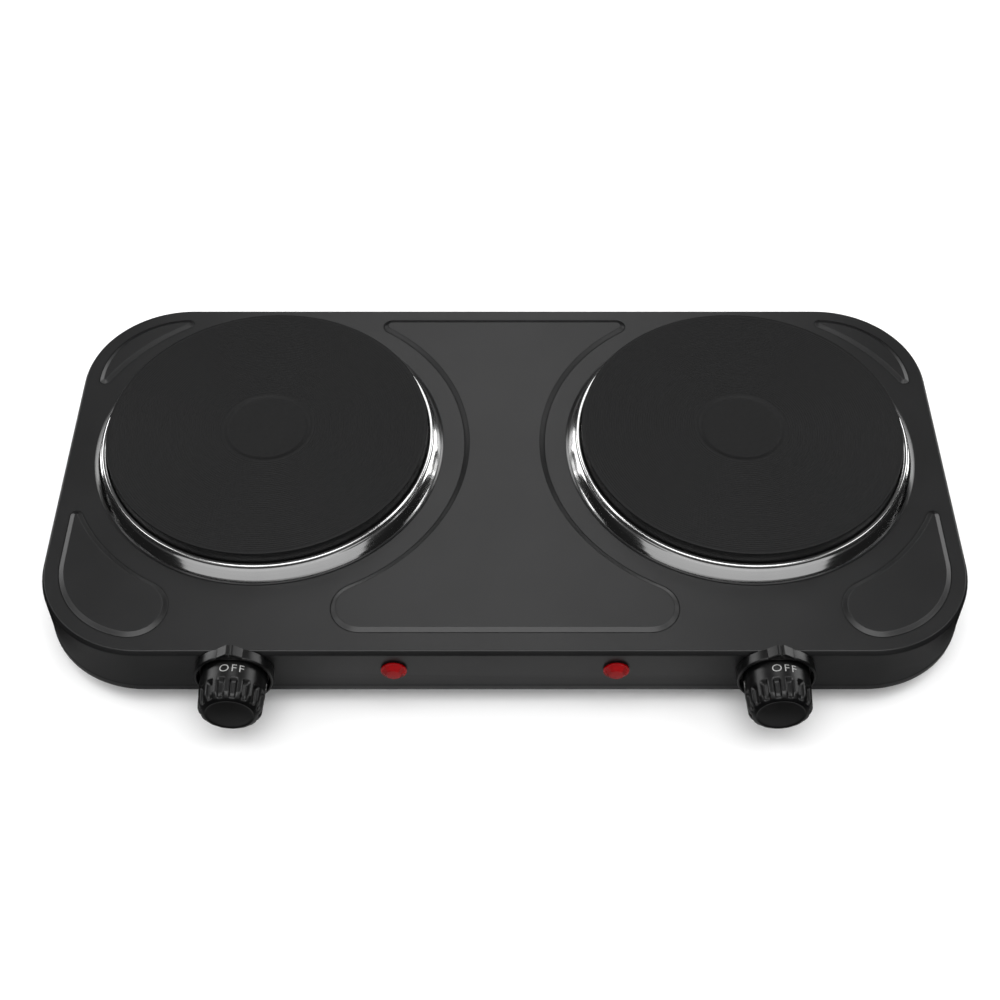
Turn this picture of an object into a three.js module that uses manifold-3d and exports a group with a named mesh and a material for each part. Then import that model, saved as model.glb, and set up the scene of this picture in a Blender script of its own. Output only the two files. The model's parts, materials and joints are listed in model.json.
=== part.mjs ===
// Double electric hot plate: two cast iron plates on a pressed steel housing, with two rotary
// thermostats and two pilot lamps on the front panel.
//
// Units are millimetres, +Z is up, the front panel faces -Y and the feet stand on Z = 0.
// The origin is on the floor under the middle of the whole object's box.

import * as THREE from 'three';
import { mergeVertices } from 'three/addons/utils/BufferGeometryUtils.js';
import Module from 'manifold-3d';

const wasm = await Module();
wasm.setup();

// ---------------------------------------------------------------- driving dimensions

const GAP = 0.3;                // clearance between pieces that touch on the real object
const SHEET = 0.8;              // steel sheet of the housing
const TINY = 0.05;

const BODY_WIDTH = 510;
const BODY_DEPTH = 260;
const CORNER_RADIUS = 60;
const SKIRT_HEIGHT = 35;
const FOLD_RADIUS = 3;          // bend between the deck and the skirt
const HEM_HEIGHT = 4.5;
const FOOT_HEIGHT = 12;         // from the floor to the lower edge of the skirt
const DECK_Z = FOOT_HEIGHT + SKIRT_HEIGHT;
const DECK_UNDER_Z = DECK_Z - SHEET;
const FRONT_Y = -BODY_DEPTH / 2;
const REAR_Y = BODY_DEPTH / 2;

const PLATE_RADIUS = 92.5;
const PLATE_X = 137;
const PLATE_Y = 16;             // the plates sit a little behind the middle of the deck
const PLATE_TOP_Z = DECK_Z + 16.5;
const RING_OUTER_RADIUS = 101.5;
const RING_LIP_Z = DECK_Z + 9.4;
const APERTURE_RADIUS = 96;
const ROUND_STEPS = 36;         // facets round the plates and the drip rings

const EMBOSS_HEIGHT = 1.2;
const EMBOSS_RAMP = 3;
const PANEL_ARC_RADIUS = 115.3; // raised panels stop on this circle round each plate
const PANEL_EDGE = 11.3;        // from the rim of the deck to a corner panel
const CENTRE_PANEL_FRONT_Y = FRONT_Y + 15;
const CENTRE_PANEL_BACK_Y = REAR_Y - 11.5;

const CONTROL_Z = DECK_Z - 15;  // knobs and lamps share one height
const KNOB_X = 144.3;
const KNOB_RADIUS = 17.8;
const KNOB_REACH = 28.3;        // from the front panel to the face of the knob
const BEZEL_RADIUS = 21;
const BEZEL_DEPTH = 6.8;
const POINTER_RADIUS = BEZEL_RADIUS + 2.6; // tip of the index pointer on the bezel
const SHAFT_RADIUS = 3;
const THERMOSTAT_SCREW_X = 12;  // from the knob's axis
const LAMP_X = 59.4;
const LAMP_RADIUS = 7;

const GLAND_REACH = 5.8;
const CORD_BORE_RADIUS = 3.6;

const FOOT_X = 190;
const FOOT_Y = 96;
const FOOT_RADIUS = 11;

const BASE_SHEET = 0.8;
const BASE_UNDER_Z = FOOT_HEIGHT + 1.5;
const BASE_TOP_Z = BASE_UNDER_Z + BASE_SHEET;
const BRIDGE_Z = 24;
const WIRE_RADIUS = 1.2;
const WIRE_Z = BASE_TOP_Z + 3;

const SIDES = [
  { name: 'left', sign: -1 },
  { name: 'right', sign: 1 },
];

// ---------------------------------------------------------------- materials

function finish(color, roughness, metalness) {
  return new THREE.MeshStandardMaterial({ color, roughness, metalness });
}

const BLACK_ENAMEL = () => finish(0x2b2b2d, 0.5, 0.2);
const GALVANISED = () => finish(0x9a9c9e, 0.5, 0.8);
const CAST_IRON = () => finish(0x242425, 0.8, 0.3);
const STAINLESS = () => finish(0xd0d2d4, 0.2, 1);
const ZINC_STEEL = () => finish(0xb0b2b4, 0.35, 0.9);
const CERAMIC = () => finish(0xe6e0d2, 0.6, 0);
const BLACK_PLASTIC = () => finish(0x101011, 0.25, 0);
const RED_LENS = () => finish(0xb00d0d, 0.15, 0);
const CLEAR_GLASS = () => finish(0xf2d9c4, 0.1, 0);
const BLACK_RUBBER = () => finish(0x1a1a1a, 0.85, 0);
const WIRE_SLEEVE = (color) => finish(color, 0.6, 0);

// ---------------------------------------------------------------- solids

function toSolid(geometry) {
  const bare = geometry.clone();
  bare.deleteAttribute('normal');
  bare.deleteAttribute('uv');
  const merged = mergeVertices(bare, 1e-4);
  return new wasm.Manifold(new wasm.Mesh({
    numProp: 3,
    vertProperties: new Float32Array(merged.attributes.position.array),
    triVerts: new Uint32Array(merged.index.array),
  }));
}

function toGeometry(solid) {
  const mesh = solid.getMesh();
  const geometry = new THREE.BufferGeometry();
  geometry.setAttribute('position', new THREE.BufferAttribute(new Float32Array(mesh.vertProperties), 3));
  geometry.setIndex(new THREE.BufferAttribute(new Uint32Array(mesh.triVerts), 1));
  geometry.computeVertexNormals();
  return geometry;
}

function join(first, ...others) {
  return toGeometry(others.reduce((solid, other) => solid.add(toSolid(other)), toSolid(first)));
}

function cut(first, ...tools) {
  return toGeometry(tools.reduce((solid, tool) => solid.subtract(toSolid(tool)), toSolid(first)));
}

function box(x0, x1, y0, y1, z0, z1) {
  const geometry = new THREE.BoxGeometry(x1 - x0, y1 - y0, z1 - z0);
  return geometry.translate((x0 + x1) / 2, (y0 + y1) / 2, (z0 + z1) / 2);
}

function post(x, y, radius, z0, z1, steps = 16) {
  const geometry = new THREE.CylinderGeometry(radius, radius, z1 - z0, steps);
  return geometry.rotateX(Math.PI / 2).translate(x, y, (z0 + z1) / 2);
}

// A solid turned about the Z axis. The profile lists [radius, z] up the outside and down the inside,
// and it either starts and ends on the axis or comes back to its first point.
function turned(profile, steps) {
  const points = profile.map(([radius, z]) => new THREE.Vector2(radius, z));
  return new THREE.LatheGeometry(points, steps).rotateX(Math.PI / 2);
}

function ringTurned(profile, steps) {
  return turned([...profile, profile[0]], steps);
}

// A closed solid through level outlines that all have the same number of points.
function loft(levels) {
  const count = levels[0].points.length;
  const positions = [];
  levels.forEach(({ points, z }) => points.forEach((p) => positions.push(p.x, p.y, z)));
  const indices = [];
  for (let level = 0; level + 1 < levels.length; level += 1) {
    for (let i = 0; i < count; i += 1) {
      const a = level * count + i;
      const b = level * count + (i + 1) % count;
      indices.push(a, b, b + count, a, b + count, a + count);
    }
  }
  const top = (levels.length - 1) * count;
  THREE.ShapeUtils.triangulateShape(levels[0].points, [])
    .forEach(([a, b, c]) => indices.push(a, c, b));
  THREE.ShapeUtils.triangulateShape(levels[levels.length - 1].points, [])
    .forEach(([a, b, c]) => indices.push(top + a, top + b, top + c));
  const geometry = new THREE.BufferGeometry();
  geometry.setAttribute('position', new THREE.Float32BufferAttribute(positions, 3));
  geometry.setIndex(indices);
  return geometry;
}

function arc(centre, radius, from, to, steps) {
  const points = [];
  for (let i = 0; i <= steps; i += 1) {
    const angle = from + (to - from) * i / steps;
    points.push(new THREE.Vector2(
      centre.x + radius * Math.cos(angle),
      centre.y + radius * Math.sin(angle),
    ));
  }
  return points;
}

function mirrored(points) {
  return points.map((p) => new THREE.Vector2(-p.x, p.y)).reverse();
}

function angleTo(from, to) {
  return Math.atan2(to.y - from.y, to.x - from.x);
}

// Where two circles meet, on the left hand (side = 1) or the right hand (side = -1) of a to b.
function circlesMeet(a, radiusA, b, radiusB, side) {
  const line = new THREE.Vector2().subVectors(b, a);
  const distance = line.length();
  const along = (radiusA ** 2 - radiusB ** 2 + distance ** 2) / (2 * distance);
  const across = Math.sqrt(radiusA ** 2 - along ** 2) * side;
  line.normalize();
  return new THREE.Vector2(
    a.x + line.x * along - line.y * across,
    a.y + line.y * along + line.x * across,
  );
}

// ---------------------------------------------------------------- outlines of the deck

const CORNER_STEPS = 7;
const LEFT_PLATE = new THREE.Vector2(-PLATE_X, PLATE_Y);
const CORNER_X = BODY_WIDTH / 2 - CORNER_RADIUS;
const CORNER_Y = BODY_DEPTH / 2 - CORNER_RADIUS;

function bodyOutline(inset) {
  const radius = CORNER_RADIUS - inset;
  const corners = [[1, 1], [-1, 1], [-1, -1], [1, -1]];
  return corners.flatMap(([sx, sy], quarter) => arc(
    new THREE.Vector2(sx * CORNER_X, sy * CORNER_Y),
    radius,
    quarter * Math.PI / 2,
    (quarter + 1) * Math.PI / 2,
    CORNER_STEPS,
  ));
}

// The hourglass panel between the plates, drawn as its left half and mirrored.
function centrePanelOutline(inset) {
  const frontTip = 15;
  const backTip = 4;
  const tipCentre = (y, radius) => {
    const reach = PANEL_ARC_RADIUS + radius;
    return new THREE.Vector2(-PLATE_X + Math.sqrt(reach ** 2 - (y - PLATE_Y) ** 2), y);
  };
  const front = tipCentre(CENTRE_PANEL_FRONT_Y + frontTip, frontTip);
  const back = tipCentre(CENTRE_PANEL_BACK_Y - backTip, backTip);
  const toBack = angleTo(back, LEFT_PLATE);
  const toFront = angleTo(front, LEFT_PLATE);
  const half = [
    ...arc(back, backTip - inset, Math.PI / 2, toBack + 2 * Math.PI, 3),
    ...arc(LEFT_PLATE, PANEL_ARC_RADIUS + inset, angleTo(LEFT_PLATE, back), angleTo(LEFT_PLATE, front), 11),
    ...arc(front, frontTip - inset, toFront, 1.5 * Math.PI, 5),
  ];
  return [...half, ...mirrored(half)];
}

// The panel in the front left corner: a tip beside the plate and a round lobe by the front edge.
function frontCornerPanelOutline(inset) {
  const tipRadius = 2;
  const lobeRadius = 17.6;
  const cornerRadius = CORNER_RADIUS - PANEL_EDGE;
  const corner = new THREE.Vector2(-CORNER_X, -CORNER_Y);
  const lobe = circlesMeet(
    LEFT_PLATE, PANEL_ARC_RADIUS + lobeRadius,
    corner, cornerRadius - lobeRadius, 1,
  );
  const tipX = -BODY_WIDTH / 2 + PANEL_EDGE + tipRadius;
  const tipReach = PANEL_ARC_RADIUS + tipRadius;
  const tip = new THREE.Vector2(tipX, PLATE_Y - Math.sqrt(tipReach ** 2 - (tipX + PLATE_X) ** 2));
  const turn = 2 * Math.PI;
  return [
    ...arc(corner, cornerRadius - inset, Math.PI, angleTo(corner, lobe) + turn, 6),
    ...arc(lobe, lobeRadius - inset, angleTo(corner, lobe) + turn, angleTo(lobe, LEFT_PLATE) + turn, 6),
    ...arc(LEFT_PLATE, PANEL_ARC_RADIUS + inset, angleTo(LEFT_PLATE, lobe), angleTo(LEFT_PLATE, tip), 5),
    ...arc(tip, tipRadius - inset, angleTo(tip, LEFT_PLATE), Math.PI, 2),
  ];
}

// The slim panel in the rear left corner, between the plate and the rounded corner.
function rearCornerPanelOutline(inset) {
  const tipRadius = 2;
  const cornerRadius = CORNER_RADIUS - PANEL_EDGE;
  const corner = new THREE.Vector2(-CORNER_X, CORNER_Y);
  const tips = [1, -1].map((side) => circlesMeet(
    LEFT_PLATE, PANEL_ARC_RADIUS + tipRadius,
    corner, cornerRadius - tipRadius, side,
  ));
  const [sideTip, backTip] = tips;
  const turn = 2 * Math.PI;
  return [
    ...arc(corner, cornerRadius - inset, angleTo(corner, backTip), angleTo(corner, sideTip) + turn, 6),
    ...arc(sideTip, tipRadius - inset, angleTo(corner, sideTip) + turn, angleTo(sideTip, LEFT_PLATE) + turn, 2),
    ...arc(LEFT_PLATE, PANEL_ARC_RADIUS + inset, angleTo(LEFT_PLATE, sideTip), angleTo(LEFT_PLATE, backTip), 4),
    ...arc(backTip, tipRadius - inset, angleTo(backTip, LEFT_PLATE), angleTo(corner, backTip), 2),
  ];
}

// ---------------------------------------------------------------- housing

function foldedLevels(inset, bottomZ, topZ, radius) {
  const steps = 2;
  const levels = [{ points: bodyOutline(inset), z: bottomZ }];
  for (let i = 0; i <= steps; i += 1) {
    const angle = (Math.PI / 2) * i / steps;
    levels.push({
      points: bodyOutline(inset + radius * (1 - Math.cos(angle))),
      z: topZ - radius * (1 - Math.sin(angle)),
    });
  }
  return levels;
}

// A raised panel with sloping sides, rooted a little below the surface at z.
function embossedPanel(outline, z) {
  const root = 0.4;
  const half = EMBOSS_RAMP / 2;
  const rootInset = -half - root * EMBOSS_RAMP / EMBOSS_HEIGHT;
  return loft([
    { points: outline(rootInset), z: z - root },
    { points: outline(half), z: z + EMBOSS_HEIGHT },
  ]);
}

function embossedPanels(z) {
  const cornerOutlines = [frontCornerPanelOutline, rearCornerPanelOutline];
  const panels = cornerOutlines.flatMap((outline) => [
    embossedPanel(outline, z),
    embossedPanel((inset) => mirrored(outline(inset)), z),
  ]);
  return [embossedPanel(centrePanelOutline, z), ...panels];
}

// A stepped bracket welded to the inside of the front or rear wall, for a foot screw.
function footBracket(x, sy) {
  const wallY = sy * (REAR_Y - SHEET);
  const weld = 0.4;
  const thick = 1.5;
  const halfWidth = 8;
  const stepY = sy * (REAR_Y - 14);
  const shelfZ = 21.5;
  const tabZ = BASE_TOP_Z + GAP;
  const tabEndY = sy * (FOOT_Y - 9);
  const slab = (yA, yB, z0, z1) => box(
    x - halfWidth, x + halfWidth, Math.min(yA, yB), Math.max(yA, yB), z0, z1,
  );
  return join(
    slab(wallY + sy * weld, wallY - sy * thick, shelfZ, 36),
    slab(wallY, stepY, shelfZ, shelfZ + thick),
    slab(stepY, stepY + sy * thick, tabZ, shelfZ + thick),
    slab(stepY + sy * thick, tabEndY, tabZ, tabZ + thick),
  );
}

// A hole through the front or rear wall, across its whole thickness.
function wallHole(x, sy, radius, steps = 16) {
  const geometry = new THREE.CylinderGeometry(radius, radius, 4 * SHEET, steps);
  return geometry.translate(x, sy * REAR_Y, CONTROL_Z);
}

function topHousing() {
  const outer = join(loft(foldedLevels(0, FOOT_HEIGHT, DECK_Z, FOLD_RADIUS)), ...embossedPanels(DECK_Z));
  const hemTopZ = FOOT_HEIGHT + HEM_HEIGHT;
  const cavity = loft(foldedLevels(SHEET, hemTopZ, DECK_UNDER_Z, FOLD_RADIUS - SHEET));
  const mouth = loft([
    { points: bodyOutline(2 * SHEET), z: FOOT_HEIGHT - 1 },
    { points: bodyOutline(2 * SHEET), z: hemTopZ + TINY },
  ]);
  const holes = SIDES.flatMap(({ sign }) => [
    post(sign * PLATE_X, PLATE_Y, APERTURE_RADIUS, DECK_UNDER_Z - 2, DECK_Z + 2, ROUND_STEPS),
    wallHole(sign * KNOB_X, -1, 5.6),
    wallHole(sign * KNOB_X - THERMOSTAT_SCREW_X, -1, 2, 10),
    wallHole(sign * KNOB_X + THERMOSTAT_SCREW_X, -1, 2, 10),
    wallHole(sign * LAMP_X, -1, 5.2),
  ]);
  const shell = cut(outer, cavity, ...embossedPanels(DECK_UNDER_Z), mouth, ...holes, wallHole(0, 1, 5.9));
  const corners = SIDES.flatMap(({ sign }) => [[sign * FOOT_X, -1], [sign * FOOT_X, 1]]);
  const bracketed = join(shell, ...corners.map(([x, sy]) => footBracket(x, sy)));
  return cut(bracketed, ...corners.map(([x, sy]) => post(x, sy * FOOT_Y, 2.3, BASE_TOP_Z, BASE_TOP_Z + 4, 12)));
}

function basePlate() {
  const edge = 2 * SHEET + 0.4;
  const rimTopZ = 18.5;
  const tray = loft([
    { points: bodyOutline(edge), z: BASE_UNDER_Z },
    { points: bodyOutline(edge), z: rimTopZ },
  ]);
  const hollow = loft([
    { points: bodyOutline(edge + BASE_SHEET), z: BASE_TOP_Z },
    { points: bodyOutline(edge + BASE_SHEET), z: rimTopZ + 1 },
  ]);
  const slots = SIDES.flatMap(({ sign }) => [-40, -28, -16, 16, 28, 40].map((offset) => box(
    sign * PLATE_X - 30, sign * PLATE_X + 30,
    PLATE_Y + offset - 2, PLATE_Y + offset + 2,
    BASE_UNDER_Z - 1, BASE_TOP_Z + 1,
  )));
  const footHoles = SIDES.flatMap(({ sign }) => [-1, 1].map((sy) => post(
    sign * FOOT_X, sy * FOOT_Y, 2.4, BASE_UNDER_Z - 1, BASE_TOP_Z + 1, 12,
  )));
  const screwHoles = [MAINS_BLOCK, EARTH_SCREW].map(({ x, y }) => post(
    x, y, 2, BASE_UNDER_Z - 1, BASE_TOP_Z + 1, 10,
  ));
  return cut(tray, hollow, ...slots, ...footHoles, ...screwHoles);
}

// ---------------------------------------------------------------- feet

function foot() {
  const topZ = BASE_UNDER_Z - GAP;
  return ringTurned([
    [2.5, 4], [5.6, 4], [5.6, 0], [10, 0], [FOOT_RADIUS, 1], [FOOT_RADIUS + 1, topZ], [2.5, topZ],
  ], 14);
}

function footScrew() {
  return turned([
    [0, 1.2], [4.6, 1.2], [4.6, 2.4], [3.6, 3.7], [2, 3.7], [2, 20], [0, 20],
  ], 8);
}

// ---------------------------------------------------------------- heating plates, about their own axis

const CAVITY_RADIUS = 82;
const CAVITY_ROOF_Z = DECK_Z + 11;
const PLATE_UNDER_Z = DECK_Z - 6;
const TERMINAL_Y = -45;
const PIN_SPACING = 11;

function hotplate() {
  const recess = 0.8;
  const recessRadius = 25;
  const edge = 0.6;
  const stepZ = DECK_Z + 3.5;
  return turned([
    [0, DECK_Z + 11], [3.4, DECK_Z + 11], [3.4, DECK_Z - 1.5], [16, DECK_Z - 1.5],
    [16, CAVITY_ROOF_Z], [CAVITY_RADIUS, CAVITY_ROOF_Z], [CAVITY_RADIUS, PLATE_UNDER_Z],
    [88.8, PLATE_UNDER_Z], [88.8, stepZ], [PLATE_RADIUS, stepZ],
    [PLATE_RADIUS, PLATE_TOP_Z - edge], [PLATE_RADIUS - edge, PLATE_TOP_Z],
    [recessRadius, PLATE_TOP_Z], [recessRadius - 0.4, PLATE_TOP_Z - recess], [0, PLATE_TOP_Z - recess],
  ], ROUND_STEPS);
}

// Pressed stainless ring: a bead on the deck, a round shoulder up to the lip, and a flange
// turned in under the plate's step.
function dripRing() {
  const at = (radius, height) => [radius, DECK_Z + height];
  return ringTurned([
    at(89.2, 2.4), at(93.9, 2.4), at(93.9, 8.2), at(97, 6.4), at(99.8, 1.7),
    at(100.7, GAP), at(RING_OUTER_RADIUS, GAP), at(RING_OUTER_RADIUS, 1.4),
    at(99.6, 4.7), at(97.2, 7.8), [94, RING_LIP_Z], at(93.1, 8.9), at(93.1, 3.2), at(89.2, 3.2),
  ], ROUND_STEPS);
}

function pins(radius, z0, z1) {
  return [-PIN_SPACING, 0, PIN_SPACING].map((x) => post(x, TERMINAL_Y, radius, z0, z1, 8));
}

function heatingElement() {
  const underZ = CAVITY_ROOF_Z - 7.8;
  const body = ringTurned([
    [17, underZ], [CAVITY_RADIUS - 0.6, underZ],
    [CAVITY_RADIUS - 0.6, CAVITY_ROOF_Z - GAP], [17, CAVITY_ROOF_Z - GAP],
  ], 32);
  return join(body, ...pins(1.2, 38, underZ + 1));
}

function elementCover() {
  const plate = post(0, 0, CAVITY_RADIUS - 0.6, DECK_Z - 3.6, DECK_Z - 2.4, 32);
  return cut(plate, post(0, 0, 3.6, 40, DECK_Z, 12), ...pins(2.2, 40, DECK_Z));
}

function terminalBlock() {
  const block = box(-20, 20, TERMINAL_Y - 7, TERMINAL_Y + 7, 29, DECK_Z - 4);
  return cut(block, ...pins(1.6, 37, DECK_Z));
}

function clampBridge() {
  const halfWidth = 10;
  const thick = 2;
  const span = 101;
  const toe = 108;
  const topZ = DECK_UNDER_Z - GAP;
  const strap = box(-span - thick, span + thick, -halfWidth, halfWidth, BRIDGE_Z, BRIDGE_Z + thick);
  const ends = [-1, 1].flatMap((side) => {
    const low = (a, b) => [Math.min(side * a, side * b), Math.max(side * a, side * b)];
    return [
      box(...low(span, span + thick), -halfWidth, halfWidth, BRIDGE_Z, topZ),
      box(...low(span, toe), -halfWidth, halfWidth, topZ - thick, topZ),
    ];
  });
  return cut(join(strap, ...ends), post(0, 0, 3.4, BRIDGE_Z - 1, BRIDGE_Z + 4, 12));
}

function centreStud() {
  return post(0, 0, 3, 18.2, DECK_Z + 10.5, 12);
}

function centreNut() {
  const underZ = BRIDGE_Z - 4.6;
  return cut(post(0, 0, 5.8, underZ, BRIDGE_Z - GAP, 6), post(0, 0, 3.3, underZ - 1, BRIDGE_Z + 1, 12));
}

// ---------------------------------------------------------------- controls, with Z to the front
// Each of these is drawn about its own axis with Z = 0 on the front of the panel and Y up.

// The index pointer on top of the bezel, tapering to a blunt tip.
function bezelPointer() {
  const root = new THREE.Vector2(6.5, BEZEL_RADIUS - 1.2);
  const tip = new THREE.Vector2(1.3, POINTER_RADIUS);
  const shape = new THREE.Shape([
    new THREE.Vector2(-root.x, root.y), root, tip, new THREE.Vector2(-tip.x, tip.y),
  ]);
  const geometry = new THREE.ExtrudeGeometry(shape, { depth: BEZEL_DEPTH - GAP, bevelEnabled: false });
  return geometry.translate(0, 0, GAP);
}

function bezel() {
  const floorTop = 1.8;
  const mouth = 19.3;
  const sleeve = ringTurned([
    [6, GAP], [BEZEL_RADIUS, GAP], [BEZEL_RADIUS, BEZEL_DEPTH - 0.5],
    [BEZEL_RADIUS - 0.4, BEZEL_DEPTH], [mouth, BEZEL_DEPTH], [mouth - 0.3, floorTop], [6, floorTop],
  ], 36);
  const notch = box(-0.5, 0.5, POINTER_RADIUS - 0.8, POINTER_RADIUS + 1, 0, BEZEL_DEPTH + 1);
  const screwHoles = [-1, 1].map((side) => post(side * THERMOSTAT_SCREW_X, 0, 2, 0, 3, 10));
  return cut(join(sleeve, bezelPointer()), notch, ...screwHoles);
}

const KNOB_FLUTES = 16;
const KNOB_BASE = 3;

function knobOutline(radius, depth) {
  const perFlute = 2;
  const points = [];
  for (let i = 0; i < KNOB_FLUTES * perFlute; i += 1) {
    const angle = 2 * Math.PI * i / (KNOB_FLUTES * perFlute);
    const r = radius - depth * (0.5 - 0.5 * Math.cos(KNOB_FLUTES * angle));
    points.push(new THREE.Vector2(r * Math.cos(angle), r * Math.sin(angle)));
  }
  return points;
}

function shaftFlat(offset, z0, z1) {
  return box(-6, 6, offset, 6, z0, z1);
}

function knob() {
  const body = loft([
    { points: knobOutline(KNOB_RADIUS, 0), z: KNOB_BASE },
    { points: knobOutline(17.5, 0), z: 16.5 },
    { points: knobOutline(17.4, 1.5), z: 18.5 },
    { points: knobOutline(16.9, 1.5), z: 25 },
    { points: knobOutline(15.4, 0.4), z: 27.3 },
    { points: knobOutline(13.3, 0), z: KNOB_REACH },
  ]);
  const cavity = turned([
    [0, KNOB_BASE - 1], [16, KNOB_BASE - 1], [15.2, 17], [13.8, 25], [5.5, 25], [5.5, 5], [0, 5],
  ], 20);
  const bore = cut(post(0, 0, SHAFT_RADIUS + GAP, 4, 24, 16), shaftFlat(1.8 + GAP, 3, 25));
  return cut(body, cavity, bore);
}

function thermostatShaft() {
  return cut(post(0, 0, SHAFT_RADIUS, -9.7, 23.5, 16), shaftFlat(1.8, 4.5, 25));
}

function thermostat() {
  const front = -SHEET - 2.3;
  const back = -28;
  const tab = (x) => box(x - 3.15, x + 3.15, -0.4, 0.4, back - 8, back + 1);
  const body = join(
    box(-16, 16, -12.5, 12.5, back, front),
    post(0, 0, 5, front - 1, -0.2, 16),
    tab(-8),
    tab(8),
  );
  return cut(body, post(0, 0, SHAFT_RADIUS + GAP, -10, 1, 16));
}

function thermostatBracket() {
  const back = -SHEET - 1.8;
  const front = -SHEET - GAP;
  const screwHoles = [-1, 1].map((side) => post(side * THERMOSTAT_SCREW_X, 0, 1.9, back - 1, 0, 10));
  return cut(box(-17, 17, -10, 10, back, front), post(0, 0, 5.3, back - 1, 0, 16), ...screwHoles);
}

function thermostatScrew() {
  const tip = -SHEET - 2;
  return turned([[0, tip], [1.6, tip], [1.6, 2.1], [3, 2.1], [3, 3.2], [2, 4.1], [0, 4.1]], 8);
}

function lampLens() {
  return turned([
    [0, 1.6], [3.4, 1], [3.4, -11], [4.8, -11], [4.8, GAP], [LAMP_RADIUS, GAP],
    [6.4, 1.6], [3.8, 2.8], [0, 3.2],
  ], 12);
}

function neonLamp() {
  return turned([[0, -14], [2.6, -14], [2.9, -12], [2.9, -1], [1.8, 0.3], [0, 0.7]], 10);
}

function lampClip() {
  return ringTurned([[5.1, -2.7], [8, -2.7], [8, -SHEET - GAP], [5.1, -SHEET - GAP]], 12);
}

// ---------------------------------------------------------------- mains side

const MAINS_BLOCK = { x: 0, y: 92 };
const EARTH_SCREW = { x: 0, y: 60 };

// A rubber bush in the rear wall, drawn with Z to the rear and Z = 0 on the wall's outer face.
function cordGland() {
  return ringTurned([
    [CORD_BORE_RADIUS, -8], [6, -8], [7, -SHEET - GAP], [5.6, -SHEET - GAP], [5.6, GAP],
    [7.8, GAP], [7.5, 2], [5.9, GLAND_REACH - 0.8], [5.3, GLAND_REACH], [CORD_BORE_RADIUS, GLAND_REACH],
  ], 16);
}

function mainsBlock() {
  const { x, y } = MAINS_BLOCK;
  const block = box(x - 19, x + 19, y - 8, y + 8, BASE_TOP_Z + GAP, 29);
  return cut(block, post(x, y, 1.9, BASE_TOP_Z - 1, 30, 10));
}

function panScrew(shankRadius, headRadius, bottomZ, seatZ) {
  return turned([
    [0, bottomZ], [shankRadius, bottomZ], [shankRadius, seatZ], [headRadius, seatZ],
    [headRadius, seatZ + 1.2], [headRadius * 0.6, seatZ + 2.2], [0, seatZ + 2.2],
  ], 8);
}

// An insulated lead through a few points, inside the housing.
function lead(points) {
  const curve = new THREE.CatmullRomCurve3(points.map((p) => new THREE.Vector3(...p)), false, 'centripetal');
  const section = new THREE.Shape();
  section.absarc(0, 0, WIRE_RADIUS, 0, 2 * Math.PI, false);
  return new THREE.ExtrudeGeometry(section, {
    steps: 10, bevelEnabled: false, extrudePath: curve, curveSegments: 4,
  });
}

// Routes for the left half, mirrored for the right half.
const TAB_END = FRONT_Y + 36.6;
const TAB_X = 8;
const BLOCK_FACE_Y = MAINS_BLOCK.y - 8.6;
const TERMINAL_FACE_Y = PLATE_Y + TERMINAL_Y - 7.6;
const LEADS = {
  live_wire: [
    [-9, BLOCK_FACE_Y, 22], [-12, 68, 18], [-16, 10, WIRE_Z], [-44, -66, WIRE_Z],
    [-112, -82, 26], [TAB_X - KNOB_X, TAB_END + 8, CONTROL_Z], [TAB_X - KNOB_X, TAB_END, CONTROL_Z],
  ],
  neutral_wire: [
    [-15, BLOCK_FACE_Y, 22], [-18, 68, 18], [-23, 10, WIRE_Z], [-56, -29, WIRE_Z],
    [-98, -29, 28], [20.6 - PLATE_X, PLATE_Y + TERMINAL_Y, 34],
  ],
  switched_wire: [
    [-TAB_X - KNOB_X, TAB_END, CONTROL_Z], [-TAB_X - KNOB_X, TAB_END + 8, CONTROL_Z],
    [-150, -54, 30], [-PLATE_X - 11, TERMINAL_FACE_Y, 34],
  ],
  lamp_wire: [
    [-LAMP_X, FRONT_Y + 14.6, CONTROL_Z], [-64, -106, 28], [-94, -102, 24],
    [-118, -108, 29], [16.6 - KNOB_X, FRONT_Y + 18, CONTROL_Z],
  ],
};
const EARTH_ROUTE = [
  [0, BLOCK_FACE_Y, 22], [0, 76, 20], [0, 70, 18.6], [EARTH_SCREW.x, EARTH_SCREW.y + 4.4, 18.4],
];

function mirroredRoute(route, sign) {
  return route.map(([x, y, z]) => [-sign * x, y, z]);
}

// ---------------------------------------------------------------- assembly

const hotPlate = new THREE.Group();
// The knobs reach further than the cord bush, so the body stands a little behind the origin.
hotPlate.position.y = (KNOB_REACH - GLAND_REACH) / 2;

function add(parent, name, geometry, material) {
  const mesh = new THREE.Mesh(geometry, material);
  mesh.name = name;
  parent.add(mesh);
  return mesh;
}

function mountedOnWall(x, y, facing) {
  const mount = new THREE.Group();
  mount.position.set(x, y, CONTROL_Z);
  mount.rotation.x = facing * Math.PI / 2;
  hotPlate.add(mount);
  return mount;
}

function addHousing() {
  add(hotPlate, 'top_housing', topHousing(), BLACK_ENAMEL());
  add(hotPlate, 'base_plate', basePlate(), GALVANISED());
}

function addFeet() {
  SIDES.forEach(({ name, sign }) => [['front', -1], ['rear', 1]].forEach(([end, sy]) => {
    const rubber = add(hotPlate, `foot_${end}_${name}`, foot(), BLACK_RUBBER());
    const screw = add(hotPlate, `foot_screw_${end}_${name}`, footScrew(), ZINC_STEEL());
    [rubber, screw].forEach((mesh) => mesh.position.set(sign * FOOT_X, sy * FOOT_Y, 0));
  }));
}

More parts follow.
